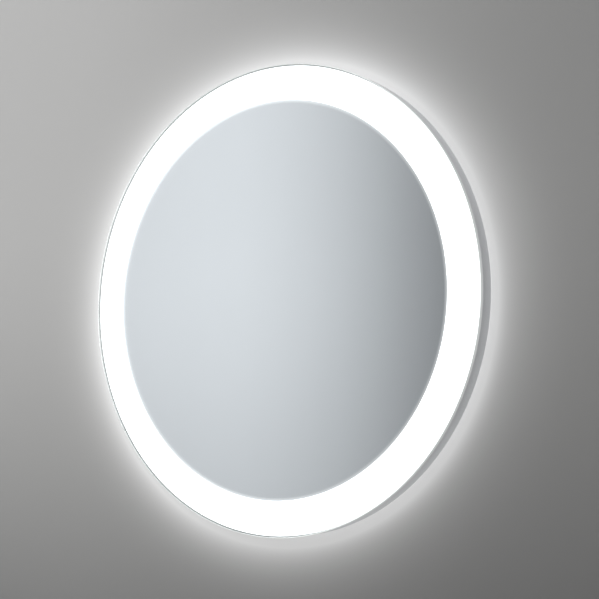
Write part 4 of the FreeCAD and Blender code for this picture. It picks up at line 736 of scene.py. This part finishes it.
def makeBackground():
    world = bpy.data.worlds.new("studio")
    bpy.context.scene.world = world
    world.use_nodes = True
    tree = world.node_tree
    plain = tree.nodes["Background"]
    feed(tree, plain, {"Color": toLinear(studio["ambientColour"]), "Strength": studio["ambient"]})
    way = addNode(tree, "SeparateXYZ", {"Vector": addNode(tree, "TexCoord").outputs["Generated"]})
    front = addNode(tree, "Math", {"Value": way.outputs["Y"], "Value_001": -1.0}, operation="MULTIPLY")
    turn = addNode(tree, "Math", {"Value": way.outputs["X"], "Value_001": front}, operation="ARCTAN2")
    share = addNode(tree, "MapRange", {"Value": turn, "From Min": -math.pi, "From Max": math.pi})
    ramp = addNode(tree, "ValToRGB", {"Fac": share})
    ramp.color_ramp.interpolation = "B_SPLINE"
    stops = ramp.color_ramp.elements
    while len(stops) < len(panels):
        stops.new(0.5)  # its place comes next
    for stop, (bearing, level) in zip(stops, panels):
        stop.position = (bearing + 180) / 360
        stop.color = (level, level, level, 1)
    height = addNode(tree, "MapRange", {
        "Value": way.outputs["Z"],
        "From Min": math.sin(math.radians(panelFade["low"])),
        "From Max": math.sin(math.radians(panelFade["high"])),
        "To Min": panelFade["lowShare"], "To Max": 1.0,
    }, interpolation_type="SMOOTHSTEP")
    shown = addNode(tree, "Background", {"Color": ramp, "Strength": height})
    pale = addNode(tree, "Background", {"Color": toLinear(studio["backgroundColour"]), "Strength": 1.0})
    # the camera sees the pale colour, reflections and glass see the panels, and all else is
    # lit by the plain ambient light
    path = addNode(tree, "LightPath")
    mirrored = addNode(tree, "Math", {
        "Value": path.outputs["Is Glossy Ray"], "Value_001": path.outputs["Is Transmission Ray"],
    }, operation="MAXIMUM")
    first = addNode(tree, "MixShader", {"Fac": mirrored, "Shader": plain, "Shader_001": shown})
    second = addNode(tree, "MixShader", {
        "Fac": path.outputs["Is Camera Ray"], "Shader": first, "Shader_001": pale,
    })
    feed(tree, tree.nodes["World Output"], {"Surface": second})
    world.cycles.sampling_method = "NONE"


# two soft lamps that no reflection shows: one in front, above and to the left, and one behind
# the wall for the back
lamps = {
    "keyLamp": {"place": (-1.6, -2.2, 1.4), "aim": (-0.2, 0, 0.0), "size": 2.4, "watts": 45},
    "backLamp": {"place": (0.9, 2.6, 1.0), "aim": (0, 0, -0.1), "size": 2.0, "watts": 60},
}


def makeLamps():
    for name, lamp in lamps.items():
        data = bpy.data.lights.new(name, "AREA")
        data.shape = "DISK"
        data.size = lamp["size"]
        data.energy = lamp["watts"]
        thing = bpy.data.objects.new(name, data)
        bpy.context.scene.collection.objects.link(thing)
        thing.location = lamp["place"]
        way = Vector(lamp["aim"]) - Vector(lamp["place"])
        thing.rotation_euler = way.to_track_quat("-Z", "Y").to_euler()
        thing.visible_camera = False
        thing.visible_glossy = False
        thing.visible_transmission = False


cameraView = {  # solved from the ovals of the glass, the silvering and the side band
    "place": (1.0154, -1.3942, -0.2561), "look": (-0.57919, 0.81074, 0.08515),
    "lensMm": 80.65, "sensorMm": 36.0, "nearest": 0.05, "farthest": 100,
}


def makeCamera():
    data = bpy.data.cameras.new("camera")
    data.lens = cameraView["lensMm"]
    data.sensor_width = cameraView["sensorMm"]
    data.clip_start = cameraView["nearest"]
    data.clip_end = cameraView["farthest"]
    camera = bpy.data.objects.new("camera", data)
    bpy.context.scene.collection.objects.link(camera)
    camera.location = cameraView["place"]
    camera.rotation_euler = Vector(cameraView["look"]).to_track_quat("-Z", "Y").to_euler()
    bpy.context.scene.camera = camera


makeCamera()
makeStage()
makeBackground()
makeLamps()
bpy.context.scene.view_settings.view_transform = "Standard"
print("studio made")
